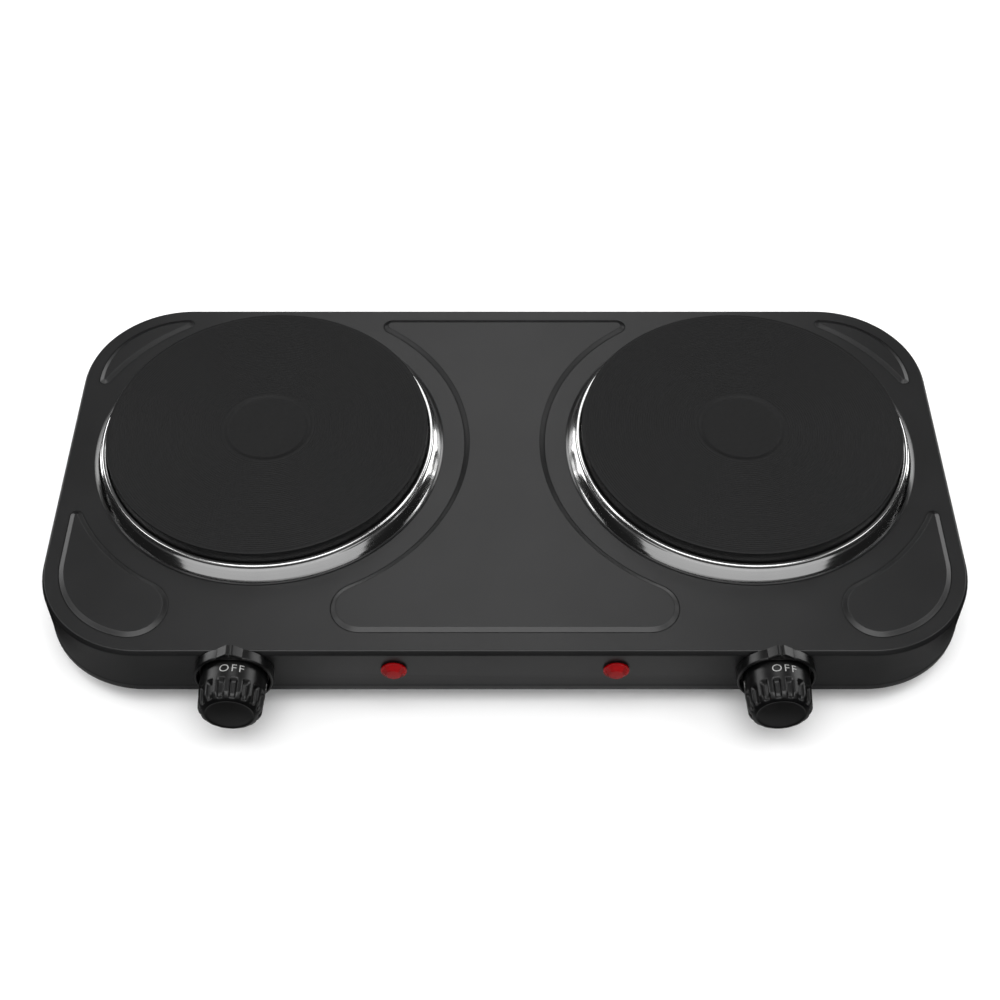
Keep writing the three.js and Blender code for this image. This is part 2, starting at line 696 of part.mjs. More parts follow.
function addPlate({ name, sign }) {
  const plate = new THREE.Group();
  plate.position.set(sign * PLATE_X, PLATE_Y, 0);
  hotPlate.add(plate);
  add(plate, `hotplate_${name}`, hotplate(), CAST_IRON());
  add(plate, `drip_ring_${name}`, dripRing(), STAINLESS());
  add(plate, `heating_element_${name}`, heatingElement(), CERAMIC());
  add(plate, `element_cover_${name}`, elementCover(), GALVANISED());
  add(plate, `terminal_block_${name}`, terminalBlock(), CERAMIC());
  add(plate, `clamp_bridge_${name}`, clampBridge(), ZINC_STEEL());
  add(plate, `centre_stud_${name}`, centreStud(), ZINC_STEEL());
  add(plate, `centre_nut_${name}`, centreNut(), ZINC_STEEL());
}

function addControl({ name, sign }) {
  const control = mountedOnWall(sign * KNOB_X, FRONT_Y, 1);
  add(control, `knob_bezel_${name}`, bezel(), BLACK_PLASTIC());
  add(control, `knob_${name}`, knob(), BLACK_PLASTIC());
  add(control, `thermostat_shaft_${name}`, thermostatShaft(), ZINC_STEEL());
  add(control, `thermostat_${name}`, thermostat(), CERAMIC());
  add(control, `thermostat_bracket_${name}`, thermostatBracket(), ZINC_STEEL());
  [['outer', sign], ['inner', -sign]].forEach(([place, side]) => {
    const screw = add(control, `thermostat_screw_${place}_${name}`, thermostatScrew(), ZINC_STEEL());
    screw.position.x = side * THERMOSTAT_SCREW_X;
  });
}

function addLamp({ name, sign }) {
  const lamp = mountedOnWall(sign * LAMP_X, FRONT_Y, 1);
  add(lamp, `lamp_lens_${name}`, lampLens(), RED_LENS());
  add(lamp, `neon_lamp_${name}`, neonLamp(), CLEAR_GLASS());
  add(lamp, `lamp_clip_${name}`, lampClip(), ZINC_STEEL());
}

function addLeads({ name, sign }) {
  const sleeves = {
    live_wire: 0x6b3f22, neutral_wire: 0x2f5fa8, switched_wire: 0x303032, lamp_wire: 0xe9e6df,
  };
  Object.entries(LEADS).forEach(([kind, route]) => {
    add(hotPlate, `${kind}_${name}`, lead(mirroredRoute(route, sign)), WIRE_SLEEVE(sleeves[kind]));
  });
}

function addMainsSide() {
  const gland = mountedOnWall(0, REAR_Y, -1);
  add(gland, 'cord_gland', cordGland(), BLACK_RUBBER());
  add(hotPlate, 'mains_block', mainsBlock(), CERAMIC());
  const blockScrew = add(hotPlate, 'mains_block_screw', panScrew(1.6, 3.4, 13, 29.3), ZINC_STEEL());
  blockScrew.position.set(MAINS_BLOCK.x, MAINS_BLOCK.y, 0);
  const earthScrew = add(hotPlate, 'earth_screw', panScrew(1.7, 3.8, 13, 17.2), ZINC_STEEL());
  earthScrew.position.set(EARTH_SCREW.x, EARTH_SCREW.y, 0);
  add(hotPlate, 'earth_wire', lead(EARTH_ROUTE), WIRE_SLEEVE(0x4f8f3a));
}

addHousing();
addFeet();
SIDES.forEach(addPlate);
SIDES.forEach(addControl);
SIDES.forEach(addLamp);
SIDES.forEach(addLeads);
addMainsSide();

export default hotPlate;
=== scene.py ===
"""Double electric hot plate: the visible pieces and their finishes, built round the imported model.

The housing, tray, plates, rings, knobs, lenses, feet and bush are built here as fine meshes. The
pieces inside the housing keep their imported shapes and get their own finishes. Lengths are metres.
"""

import json
import math

import bmesh
import bpy
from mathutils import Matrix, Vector
from mathutils.geometry import delaunay_2d_cdt


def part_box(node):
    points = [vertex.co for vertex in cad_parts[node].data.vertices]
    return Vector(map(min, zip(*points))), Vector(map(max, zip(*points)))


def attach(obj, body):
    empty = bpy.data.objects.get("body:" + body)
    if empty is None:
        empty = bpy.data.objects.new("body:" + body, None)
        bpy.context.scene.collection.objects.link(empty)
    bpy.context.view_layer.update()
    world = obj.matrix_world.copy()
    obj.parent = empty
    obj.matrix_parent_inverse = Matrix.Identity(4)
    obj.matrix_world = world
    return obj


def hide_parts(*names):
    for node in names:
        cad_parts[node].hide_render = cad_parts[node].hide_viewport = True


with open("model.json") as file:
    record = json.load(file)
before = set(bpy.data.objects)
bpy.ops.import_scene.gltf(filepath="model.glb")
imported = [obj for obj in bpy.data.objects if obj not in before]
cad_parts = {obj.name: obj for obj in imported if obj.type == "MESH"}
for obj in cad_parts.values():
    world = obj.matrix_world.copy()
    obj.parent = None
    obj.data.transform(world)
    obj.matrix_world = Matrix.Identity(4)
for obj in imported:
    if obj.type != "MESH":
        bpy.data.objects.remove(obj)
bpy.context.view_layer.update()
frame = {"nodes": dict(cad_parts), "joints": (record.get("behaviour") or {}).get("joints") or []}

bl_info = {
    "name": "Double Electric Hot Plate",
    "version": (1, 0, 0),
    "blender": (4, 5, 0),
    "location": "View3D > Sidebar > Hot Plate",
    "description": "Builds the visible pieces of a two-plate electric cooker",
    "category": "Add Mesh",
}

MM = 0.001
TURN = 2 * math.pi
QUARTER = math.pi / 2
SAME_POINT = 0.001 * MM
SIDES = (("left", -1), ("right", 1))
ENDS = (("front", -1), ("rear", 1))
ORIGIN = Vector((0, 0))
RING_LIFT = 0.3 * MM  # the gap under each ring, over the deck
OPENING_STEPS = 160  # steps round each plate's opening
KNOB_BAND = ((3, 17.8), (16.5, 17.5))  # (reach, radius) of both ends of the printed band, in mm


def middle(node):
    """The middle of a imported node's box."""
    low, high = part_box(node)
    return (low + high) / 2


HOUSING_LOW, HOUSING_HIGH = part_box("top_housing")
BODY_WIDTH = HOUSING_HIGH.x - HOUSING_LOW.x
BODY_DEPTH = HOUSING_HIGH.y - HOUSING_LOW.y
BODY_MIDDLE = (HOUSING_LOW + HOUSING_HIGH) / 2
SKIRT_BOTTOM = HOUSING_LOW.z
FRONT_Y = HOUSING_LOW.y
REAR_Y = HOUSING_HIGH.y
CONTROL_Z = middle("knob_left").z
PLATE_OFFSET = middle("hotplate_right").x
DECK_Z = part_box("drip_ring_left")[0].z - RING_LIFT


# ---- sizes and colours

def length(name, description, value):
    """A length property, given in millimetres."""
    return bpy.props.FloatProperty(
        name=name, description=description, default=value * MM, unit="LENGTH", precision=5,
    )


def colour(name, description, value):
    """A colour property."""
    return bpy.props.FloatVectorProperty(
        name=name, description=description, default=value, size=3, subtype="COLOR", min=0, max=1,
    )


def angle(name, description, degrees):
    """An angle property, given in degrees."""
    return bpy.props.FloatProperty(
        name=name, description=description, default=math.radians(degrees), subtype="ANGLE",
    )


def count(name, description, value, least):
    """A property that counts."""
    return bpy.props.IntProperty(name=name, description=description, default=value, min=least)


class HousingSizes(bpy.types.PropertyGroup):
    """Sizes of the pressed steel housing."""

    sheet: length("Sheet", "Thickness of the steel", 0.8)
    corner_radius: length("Corner", "Radius of the corners, seen from above", 60)
    fold_radius: length("Fold", "Bend between the deck and the skirt", 3)
    hem_height: length("Hem", "Height of the folded lower edge", 4.5)
    hem_step: length("Hem step", "How far the hem stands out from the skirt", 0.35)
    emboss_height: length("Panel height", "How high the pressed panels stand", 1.2)
    emboss_ramp: length("Panel ramp", "Width of the slope round a panel", 3)
    panel_arc_radius: length("Panel arc", "Circle round each plate where the panels stop", 115.3)
    panel_edge: length("Panel edge", "From the rim of the deck to a corner panel", 11.3)
    panel_front: length("Panel front", "From the front to the middle panel", 15)
    panel_back: length("Panel back", "From the rear to the middle panel", 11.5)
    aperture_radius: length("Opening", "Radius of each plate's opening", 96)
    shaft_hole: length("Shaft hole", "Radius of each knob shaft's hole", 5.6)
    lamp_hole: length("Lamp hole", "Radius of each pilot lamp's hole", 5.2)
    cord_hole: length("Cord hole", "Radius of the hole for the cord bush", 5.9)


class PlateSizes(bpy.types.PropertyGroup):
    """Sizes of the cast iron plates and their rings."""

    groove_pitch: length("Groove pitch", "Spacing of the machined grooves", 1.35)
    groove_depth: length("Groove depth", "Depth of the machined grooves", 0.12)
    recess_radius: length("Recess radius", "Radius of the round recess in the middle", 25)
    recess_depth: length("Recess depth", "Depth of the round recess in the middle", 0.8)
    facets: count("Facets", "Steps round each plate and ring", 240, 48)


class ControlSizes(bpy.types.PropertyGroup):
    """Sizes of the knobs, their collars and the pilot lamps."""

    flutes: count("Flutes", "Finger flutes round each knob", 16, 8)
    flute_depth: length("Flute depth", "Depth of the finger flutes", 1.8)
    mark_height: length("Mark height", "Height of the letters and numbers", 4.2)
    mark_relief: length("Mark relief", "How far the print stands off the knob", 0.05)
    off_angle: angle("OFF angle", "Where OFF sits, clockwise from the top", 5)
    lens_facets: count("Lens facets", "Facets round each pilot lamp", 8, 4)


class Finishes(bpy.types.PropertyGroup):
    """Base colours of the finishes."""

    enamel: colour("Enamel", "Satin black enamel of the housing", (0.0085, 0.0085, 0.0088))
    iron: colour("Iron", "Heat-proof coat on the plates", (0.0052, 0.0052, 0.0054))
    chrome: colour("Ring", "Polished steel of the rings", (0.83, 0.83, 0.83))
    plastic: colour("Plastic", "Gloss black plastic", (0.0028, 0.0028, 0.003))
    ink: colour("Ink", "Ink of the letters and numbers", (0.34, 0.34, 0.335))
    lens: colour("Lens", "Red of the pilot lamps", (0.18, 0.0002, 0.0012))


class StageSizes(bpy.types.PropertyGroup):
    """The camera and the light."""

    distance: length("Distance", "From the camera to the middle of the deck", 950)
    sideways: length("Sideways", "How far the camera stands to the right of the middle", -2.7)
    elevation: angle("Elevation", "How far the camera looks down", 49.45)
    focal_length: bpy.props.FloatProperty(
        name="Focal length", description="On a 36 mm sensor, in millimetres", default=59.1,
    )
    rise: bpy.props.FloatProperty(
        name="Shift", description="Vertical shift of the lens", default=-0.0338,
    )
    floor: colour("Floor", "Pale floor", (0.94, 0.94, 0.94))


# ---- outlines, seen from above

def arc(centre, radius, start, end, steps):
    """Points along a circle from one angle to another, both ends included."""
    angles = [start + (end - start) * i / steps for i in range(steps + 1)]
    return [Vector((centre.x + radius * math.cos(a), centre.y + radius * math.sin(a))) for a in angles]


def circle(centre, radius, steps):
    """A closed circle."""
    return arc(centre, radius, 0, TURN, steps)[:-1]


def closed(*runs):
    """One closed outline from its runs, without the points that two runs share."""
    points = [p for run in runs for p in run]
    return [p for i, p in enumerate(points) if (p - points[i - 1]).length > SAME_POINT]


def mirrored(points):
    """The outline on the other side of the deck, still anticlockwise."""
    return [Vector((-p.x, p.y)) for p in reversed(points)]


def angle_to(start, end):
    """The direction of one point from another."""
    return math.atan2(end.y - start.y, end.x - start.x)


def circles_meet(a, radius_a, b, radius_b, side):
    """Where two circles meet, on the left (side 1) or the right (side -1) of the line a to b."""
    line = b - a
    distance = line.length
    along = (radius_a ** 2 - radius_b ** 2 + distance ** 2) / (2 * distance)
    across = math.sqrt(radius_a ** 2 - along ** 2) * side
    unit = line / distance
    return a + unit * along + Vector((-unit.y, unit.x)) * across


class DeckPlan:
    """The outlines pressed into the deck. A positive inset shrinks an outline."""

    def __init__(self, sizes):
        self.sizes = sizes
        self.plate = Vector((-PLATE_OFFSET, middle("hotplate_left").y))
        self.corner_x = BODY_WIDTH / 2 - sizes.corner_radius
        self.corner_y = BODY_DEPTH / 2 - sizes.corner_radius

    def body(self, inset, steps=24):
        """The rim of the housing."""
        corners = ((1, 1), (-1, 1), (-1, -1), (1, -1))
        runs = []
        for quarter, (sx, sy) in enumerate(corners):
            centre = Vector((sx * self.corner_x, BODY_MIDDLE.y + sy * self.corner_y))
            radius = self.sizes.corner_radius - inset
            runs.append(arc(centre, radius, quarter * QUARTER, (quarter + 1) * QUARTER, steps))
        return closed(*runs)

    def middle_panel(self, inset):
        """The hourglass panel between the plates."""
        front_tip = 15 * MM
        back_tip = 4 * MM
        reach = self.sizes.panel_arc_radius

        def tip(y, radius):
            across = math.sqrt((reach + radius) ** 2 - (y - self.plate.y) ** 2)
            return Vector((self.plate.x + across, y))

        front = tip(FRONT_Y + self.sizes.panel_front + front_tip, front_tip)
        back = tip(REAR_Y - self.sizes.panel_back - back_tip, back_tip)
        half = (
            arc(back, back_tip - inset, QUARTER, angle_to(back, self.plate) + TURN, 8)
            + arc(self.plate, reach + inset, angle_to(self.plate, back), angle_to(self.plate, front), 48)
            + arc(front, front_tip - inset, angle_to(front, self.plate), 3 * QUARTER, 16)
        )
        return closed(half, mirrored(half))

    def front_panel(self, inset):
        """The panel in the front left corner, with a tip beside the plate and a lobe at the front."""
        tip_radius = 2 * MM
        lobe_radius = 17.6 * MM
        reach = self.sizes.panel_arc_radius
        corner_radius = self.sizes.corner_radius - self.sizes.panel_edge
        corner = Vector((-self.corner_x, BODY_MIDDLE.y - self.corner_y))
        lobe = circles_meet(self.plate, reach + lobe_radius, corner, corner_radius - lobe_radius, 1)
        tip_x = HOUSING_LOW.x + self.sizes.panel_edge + tip_radius
        drop = math.sqrt((reach + tip_radius) ** 2 - (tip_x - self.plate.x) ** 2)
        tip = Vector((tip_x, self.plate.y - drop))
        to_lobe = angle_to(corner, lobe) + TURN
        return closed(
            arc(corner, corner_radius - inset, math.pi, to_lobe, 20),
            arc(lobe, lobe_radius - inset, to_lobe, angle_to(lobe, self.plate) + TURN, 20),
            arc(self.plate, reach + inset, angle_to(self.plate, lobe), angle_to(self.plate, tip), 24),
            arc(tip, tip_radius - inset, angle_to(tip, self.plate), math.pi, 8),
        )

    def rear_panel(self, inset):
        """The slim panel in the rear left corner."""
        tip_radius = 2 * MM
        reach = self.sizes.panel_arc_radius
        corner_radius = self.sizes.corner_radius - self.sizes.panel_edge
        corner = Vector((-self.corner_x, BODY_MIDDLE.y + self.corner_y))
        side_tip, back_tip = [
            circles_meet(self.plate, reach + tip_radius, corner, corner_radius - tip_radius, side)
            for side in (1, -1)
        ]
        to_side = angle_to(corner, side_tip) + TURN
        return closed(
            arc(corner, corner_radius - inset, angle_to(corner, back_tip), to_side, 24),
            arc(side_tip, tip_radius - inset, to_side, angle_to(side_tip, self.plate) + TURN, 8),
            arc(
                self.plate, reach + inset,
                angle_to(self.plate, side_tip), angle_to(self.plate, back_tip), 16,
            ),
            arc(
                back_tip, tip_radius - inset,
                angle_to(back_tip, self.plate), angle_to(corner, back_tip), 8,
            ),
        )

    def panels(self):
        """Every pressed panel as a function of its inset."""
        corners = [self.front_panel, self.rear_panel]
        return [self.middle_panel, *corners, *[
            lambda inset, outline=outline: mirrored(outline(inset)) for outline in corners
        ]]


# ---- mesh tools

def loop_at(bm, outline, z):
    """A closed loop of vertices at one height."""
    return [bm.verts.new((p.x, p.y, z)) for p in outline]


def connect(bm, a, b):
    """Faces between two closed loops. A loop of one vertex is a point on the axis."""
    for i in range(max(len(a), len(b))):
        if len(a) == 1:
            bm.faces.new((a[0], b[i], b[i - 1]))
        elif len(b) == 1:
            bm.faces.new((a[i - 1], a[i], b[0]))
        else:
            bm.faces.new((a[i - 1], a[i], b[i], b[i - 1]))


def connect_all(bm, loops):
    """Faces along a row of loops."""
    for a, b in zip(loops, loops[1:]):
        connect(bm, a, b)


def fill_level(bm, loops):
    """A flat face inside the first loop, with the other loops as holes."""
    verts = [v for loop in loops for v in loop]
    edges = []
    first = 0
    for loop in loops:
        edges += [(first + i, first + (i + 1) % len(loop)) for i in range(len(loop))]
        first += len(loop)
    points = [v.co.xy / MM for v in verts]
    faces, origins = delaunay_2d_cdt(points, edges, [], 2, 1e-5)[2:4]
    for face in faces:
        bm.faces.new([verts[origins[i][0]] for i in face])


def round_section(level, turn):
    """A round section of a turned piece: x and y by level and angle."""
    return level[0] * math.cos(turn), level[0] * math.sin(turn)


def lathe(bm, levels, steps, section=round_section):
    """Turns (radius, height) levels about Z. It ends on the axis or closes on its first level."""
    loops = []
    for level in levels:
        if level[0] < SAME_POINT:
            loops.append([bm.verts.new((0, 0, level[1]))])
        else:
            turns = [TURN * i / steps for i in range(steps)]
            loops.append([bm.verts.new((*section(level, turn), level[1])) for turn in turns])
    if len(loops[0]) > 1:
        loops.append(loops[0])
    connect_all(bm, loops)


def rounded(profile, radius, steps=4, ring=False):
    """The profile with each corner eased into a small curve."""
    last = len(profile) - 1
    result = []
    for i, point in enumerate(profile):
        if not ring and i in (0, last):
            result.append(tuple(point))
            continue
        corner = Vector(point)
        back = Vector(profile[i - 1]) - corner
        ahead = Vector(profile[(i + 1) % len(profile)]) - corner
        start = corner + back.normalized() * min(radius, back.length * 0.48)
        end = corner + ahead.normalized() * min(radius, ahead.length * 0.48)
        for s in range(steps + 1):
            t = s / steps
            eased = start * (1 - t) ** 2 + corner * 2 * t * (1 - t) + end * t ** 2
            result.append((eased.x, eased.y))
    return result


def in_mm(points):
    """Points given in millimetres, as metres."""
    return [tuple(value * MM for value in point) for point in points]


def turned_mesh(name, profile, ease, ease_steps, steps, ring=True):
    """A turned mesh from its profile in millimetres, with eased corners."""
    bm = bmesh.new()
    lathe(bm, rounded(in_mm(profile), ease * MM, ease_steps, ring), steps)
    return to_mesh(bm, name)


def add_prism(bm, levels):
    """A closed solid from a row of loops, flat at both ends."""
    connect_all(bm, levels)
    bm.faces.new(levels[0])
    bm.faces.new(levels[-1])


def add_drill(bm, centre, radius, half, axis):
    """A closed cylinder along Y or Z, to cut a round hole with."""
    ends = []
    for reach in (-half, half):
        ring = circle(ORIGIN, radius, 40)
        offsets = [(p.x, reach, p.y) if axis == "Y" else (p.x, p.y, reach) for p in ring]
        ends.append([bm.verts.new(centre + Vector(offset)) for offset in offsets])
    add_prism(bm, ends)


def smoothed(mesh, sharp):
    """The mesh with smooth faces, and with edges over the sharp angle left crisp."""
    mesh.shade_smooth()
    mesh.set_sharp_from_angle(angle=math.radians(sharp))
    return mesh


def to_mesh(bm, name, sharp=30):
    """Finishes a mesh, with its faces outward."""
    bmesh.ops.recalc_face_normals(bm, faces=bm.faces)
    mesh = bpy.data.meshes.new(name)
    bm.to_mesh(mesh)
    bm.free()
    return smoothed(mesh, sharp)


def add_object(name, data):
    """A new object in the scene."""
    item = bpy.data.objects.new(name, data)
    bpy.context.scene.collection.objects.link(item)
    return item


def add_piece(name, mesh, material, nodes=(), location=(0, 0, 0), facing=0, body="hot_plate"):
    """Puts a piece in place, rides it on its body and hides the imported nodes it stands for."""
    piece = add_object(name, mesh)
    piece.location = location
    piece.rotation_euler.x = facing * QUARTER
    mesh.materials.clear()
    mesh.materials.append(material)
    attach(piece, body)
    if nodes:
        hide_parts(*nodes)


def combine(mesh, shape, operation="DIFFERENCE"):
    """The mesh with another shape taken out of it or joined to it."""
    work = add_object("work", mesh)
    tool = add_object("tool", to_mesh(shape, "tool"))
    modifier = work.modifiers.new("combine", "BOOLEAN")
    modifier.operation = operation
    modifier.solver = "EXACT"
    modifier.object = tool
    graph = bpy.context.evaluated_depsgraph_get()
    result = bpy.data.meshes.new_from_object(work.evaluated_get(graph))
    result.name = mesh.name + "_cut"
    for item in (work, tool):
        bpy.data.objects.remove(item)
    if not result.polygons:
        raise RuntimeError(f"the {operation.lower()} of {mesh.name} left nothing")
    return smoothed(result, 30)


# ---- finishes

def add_node(tree, kind, inputs=None, **settings):
    """A node with its settings, and with each input set to a value or linked to another node."""
    node = tree.nodes.new("ShaderNode" + kind)
    for name, value in settings.items():
        setattr(node, name, value)
    set_inputs(tree, node, inputs or {})
    return node


def set_inputs(tree, node, inputs):
    """Sets a node's inputs by name or number, each to a value or to another node's output."""
    for socket, value in inputs.items():
        if isinstance(value, bpy.types.NodeSocket):
            tree.links.new(value, node.inputs[socket])
        else:
            node.inputs[socket].default_value = value


def maths(tree, operation, first, second=0.0):
    """The result of one maths node."""
    return add_node(tree, "Math", {0: first, 1: second}, operation=operation).outputs["Value"]


def spread(tree, value, span, levels, **settings):
    """A value carried over from one span to another."""
    sockets = ("From Min", "From Max", "To Min", "To Max")
    node = add_node(tree, "MapRange", {"Value": value, **dict(zip(sockets, (*span, *levels)))}, **settings)
    return node.outputs["Result"]


def own_coordinates(tree):
    """The piece's own coordinates, in metres."""
    return add_node(tree, "TexCoord").outputs["Object"]


def grain(tree, size, detail=3.0, vector=None):
    """Noise from 0 to 1, with features of about the given size in millimetres."""
    inputs = {"Vector": vector or own_coordinates(tree), "Scale": 1 / (size * MM), "Detail": detail}
    return add_node(tree, "TexNoise", inputs).outputs["Fac"]


def turned_coordinates(tree, along):
    """Coordinates that follow a turned surface: radius, angle shrunk by the given factor, and height."""
    split = add_node(tree, "SeparateXYZ", {"Vector": own_coordinates(tree)})
    x, y, z = split.outputs
    flat = add_node(tree, "CombineXYZ", {"X": x, "Y": y})
    radius = add_node(tree, "VectorMath", {0: flat.outputs["Vector"]}, operation="LENGTH")
    turn = maths(tree, "MULTIPLY", maths(tree, "ARCTAN2", y, x), along)
    joined = add_node(tree, "CombineXYZ", {"X": radius.outputs["Value"], "Y": turn, "Z": z})
    return joined.outputs["Vector"]


def shade(base, factor):
    """A lighter or darker version of a colour."""
    return tuple(min(1.0, c * factor) for c in base)


def mottle(tree, value, base, low, high, span=(0.35, 0.65)):
    """A colour that follows a pattern between two shades of the base."""
    node = add_node(tree, "ValToRGB", {"Fac": value})
    for element, position, factor in zip(node.color_ramp.elements, span, (low, high)):
        element.position = position
        element.color = (*shade(base, factor), 1)
    return node.outputs["Color"]


def add_relief(tree, shader, value, depth):
    """Fine relief from a pattern, by its depth in millimetres, on top of any relief already there."""
    normal = shader.inputs["Normal"]
    inputs = {"Height": value, "Distance": depth * MM, "Strength": 1.0}
    if normal.links:
        inputs["Normal"] = normal.links[0].from_socket
    tree.links.new(add_node(tree, "Bump", inputs).outputs["Normal"], normal)


def new_finish(name, base, colour=None, roughness=0.5, relief=(), others=None):
    """A material with one principled shader, and noise patterns for what varies over the surface.

    colour and roughness are one value, or (feature size, detail, lowest, highest). Relief is a list of
    (feature size, detail, depth). Sizes and depths are millimetres. others holds constant values.
    """
    material = bpy.data.materials.new(name)
    material.use_nodes = True
    material.diffuse_color = (*base, 1)
    tree = material.node_tree
    shader = tree.nodes["Principled BSDF"]
    set_inputs(tree, shader, {"Base Color": (*base, 1), **(others or {})})
    if colour:
        size, detail, low, high = colour
        set_inputs(tree, shader, {"Base Color": mottle(tree, grain(tree, size, detail), base, low, high)})
    if isinstance(roughness, tuple):
        size, detail, low, high = roughness
        roughness = spread(tree, grain(tree, size, detail), (0, 1), (low, high))
    set_inputs(tree, shader, {"Roughness": roughness})
    for size, detail, depth in relief:
        add_relief(tree, shader, grain(tree, size, detail), depth)
    return material


def black_enamel(finishes):
    """Baked satin enamel with a faint orange peel."""
    return new_finish(
        "black_enamel", finishes.enamel, (40, 2, 0.88, 1.12), (3, 3, 0.31, 0.37),
        [(1.6, 2, 0.012), (0.35, 2, 0.004)],
    )


def cast_iron(finishes):
    """Heat-proof coat on machined iron: fine sand grain and tool marks round the plate."""
    material = new_finish(
        "cast_iron", finishes.iron, (2, 5, 0.9, 1.1), (1.2, 4, 0.46, 0.53), [(0.4, 3, 0.02)],
        {"Specular IOR Level": 0.28},
    )
    tree = material.node_tree
    marks = grain(tree, 0.25, 2, turned_coordinates(tree, 0.002))
    add_relief(tree, tree.nodes["Principled BSDF"], marks, 0.008)
    return material


def polished_steel(finishes):
    """Polished stainless with hair-fine marks that run round the ring."""
    material = new_finish("polished_steel", finishes.chrome, (15, 3, 0.97, 1), others={"Metallic": 1.0})
    tree = material.node_tree
    shader = tree.nodes["Principled BSDF"]
    marks = grain(tree, 0.12, 3, turned_coordinates(tree, 0.0015))
    set_inputs(tree, shader, {"Roughness": spread(tree, marks, (0, 1), (0.1, 0.14))})
    add_relief(tree, shader, marks, 0.00005)
    return material


def gloss_plastic(finishes):
    """Moulded heat-proof plastic, glossy with soft flow marks."""
    return new_finish(
        "gloss_plastic", finishes.plastic, (9, 2, 0.8, 1.2), (2.5, 3, 0.27, 0.36), [(2.2, 1, 0.01)],
    )


def mark_ink(finishes):
    """Pad-printed ink, a little uneven."""
    return new_finish("mark_ink", finishes.ink, (0.5, 3, 0.85, 1), 0.5, [(0.2, 3, 0.006)])


def red_glow(finishes):
    """Clear red moulding over a pale lamp, with a faint painted glow of its own red so it looks deep red
    with light in it.
    """
    return new_finish("red_lens", finishes.lens, (5, 2, 0.7, 1.1), 0.1, [(1.5, 1, 0.01)], {
        "Specular IOR Level": 0.2,
        # painted glow: the lens gives off a little red light of its own, standing in for light through the
        # moulding; the neon tube behind gives none
        "Emission Color": (*finishes.lens, 1),
        "Emission Strength": 0.08,
    })


def black_rubber():
    """Dull moulded rubber."""
    return new_finish("black_rubber", (0.018, 0.018, 0.018), (3, 3, 0.8, 1.3), 0.75, [(0.3, 3, 0.03)])


def galvanised_sheet():
    """Zinc-coated sheet with its crystal pattern."""
    base = (0.5, 0.51, 0.52)
    crystal = 6 * MM
    material = new_finish("galvanised_sheet", base, relief=[(0.8, 3, 0.01)], others={"Metallic": 1.0})
    tree = material.node_tree
    cells = add_node(tree, "TexVoronoi", {"Vector": own_coordinates(tree), "Scale": 1 / crystal})
    tint = cells.outputs["Color"]
    set_inputs(tree, tree.nodes["Principled BSDF"], {
        "Base Color": mottle(tree, tint, base, 0.8, 1.15, (0.1, 0.9)),
        "Roughness": spread(tree, tint, (0, 1), (0.34, 0.52)),
    })
    return material


def zinc_steel():
    """Bright zinc plate on small steel parts."""
    return new_finish(
        "zinc_steel", (0.62, 0.63, 0.65), (5, 3, 0.85, 1.1), (1.5, 3, 0.24, 0.38), [(0.3, 3, 0.006)],
        {"Metallic": 1.0},
    )


def white_ceramic():
    """Unglazed steatite."""
    return new_finish("white_ceramic", (0.74, 0.71, 0.64), (2, 5, 0.92, 1.05), 0.55, [(0.4, 3, 0.02)])


def pressed_mineral():
    """Pressed insulation, powdery and a little stained."""
    return new_finish("pressed_mineral", (0.6, 0.54, 0.45), (7, 6, 0.75, 1.1), 0.92, [(0.9, 5, 0.12)])


def neon_glass():
    """Small neon tube with a warm tint."""
    clear = {"Transmission Weight": 0.6, "Coat Weight": 0.3}
    return new_finish("neon_glass", (0.95, 0.8, 0.68), None, (2, 3, 0.05, 0.14), others=clear)


def lead_sleeve(name, base):
    """Soft sleeve on an insulated lead."""
    return new_finish(name, base, (4, 3, 0.85, 1.1), (1, 3, 0.42, 0.6), [(0.5, 3, 0.015)])


# ---- housing and tray

GUARD = 0.3 * MM  # narrow flat strips beside each bend, which keep the shading even
BEND = 0.12  # the share of a panel's ramp that bends, at each end


def ramp_rise(t):
    """How far a panel's ramp has risen, from 0 to 1: an even slope with a short bend at each end."""
    slope = 1 / (1 - BEND)
    if t > 0.5:
        return 1 - ramp_rise(1 - t)
    if t < BEND:
        return slope * t * t / (2 * BEND)
    return slope * (t - BEND / 2)


def pressed_face(bm, plan, z, rim_inset):
    """One face of the deck with its panels; gives the rim and the edges of the two openings."""
    sizes = plan.sizes
    rim = loop_at(bm, plan.body(rim_inset), z)
    flat_rim = loop_at(bm, plan.body(rim_inset + 2 * GUARD), z)
    connect(bm, rim, flat_rim)
    openings = []
    flats = []
    for _, sign in SIDES:
        centre = Vector((sign * PLATE_OFFSET, plan.plate.y))
        edge = loop_at(bm, circle(centre, sizes.aperture_radius + GUARD, OPENING_STEPS), z)
        flat = loop_at(bm, circle(centre, sizes.aperture_radius + 3 * GUARD, OPENING_STEPS), z)
        connect(bm, edge, flat)
        openings.append(edge)
        flats.append(flat)
    half = sizes.emboss_ramp / 2
    bend = [BEND * i / 3 for i in range(4)]
    steps = [*bend, 0.5, *[1 - t for t in reversed(bend)]]
    slopes = [(half * (2 * t - 1), ramp_rise(t)) for t in steps]
    levels = [(-half - GUARD, 0), *slopes, (half + GUARD, 1)]
    roots = []
    for outline in plan.panels():
        loops = [loop_at(bm, outline(inset), z + rise * sizes.emboss_height) for inset, rise in levels]
        connect_all(bm, loops)
        fill_level(bm, [loops[-1]])
        roots.append(loops[0])
    fill_level(bm, [flat_rim, *flats, *roots])
    return rim, openings


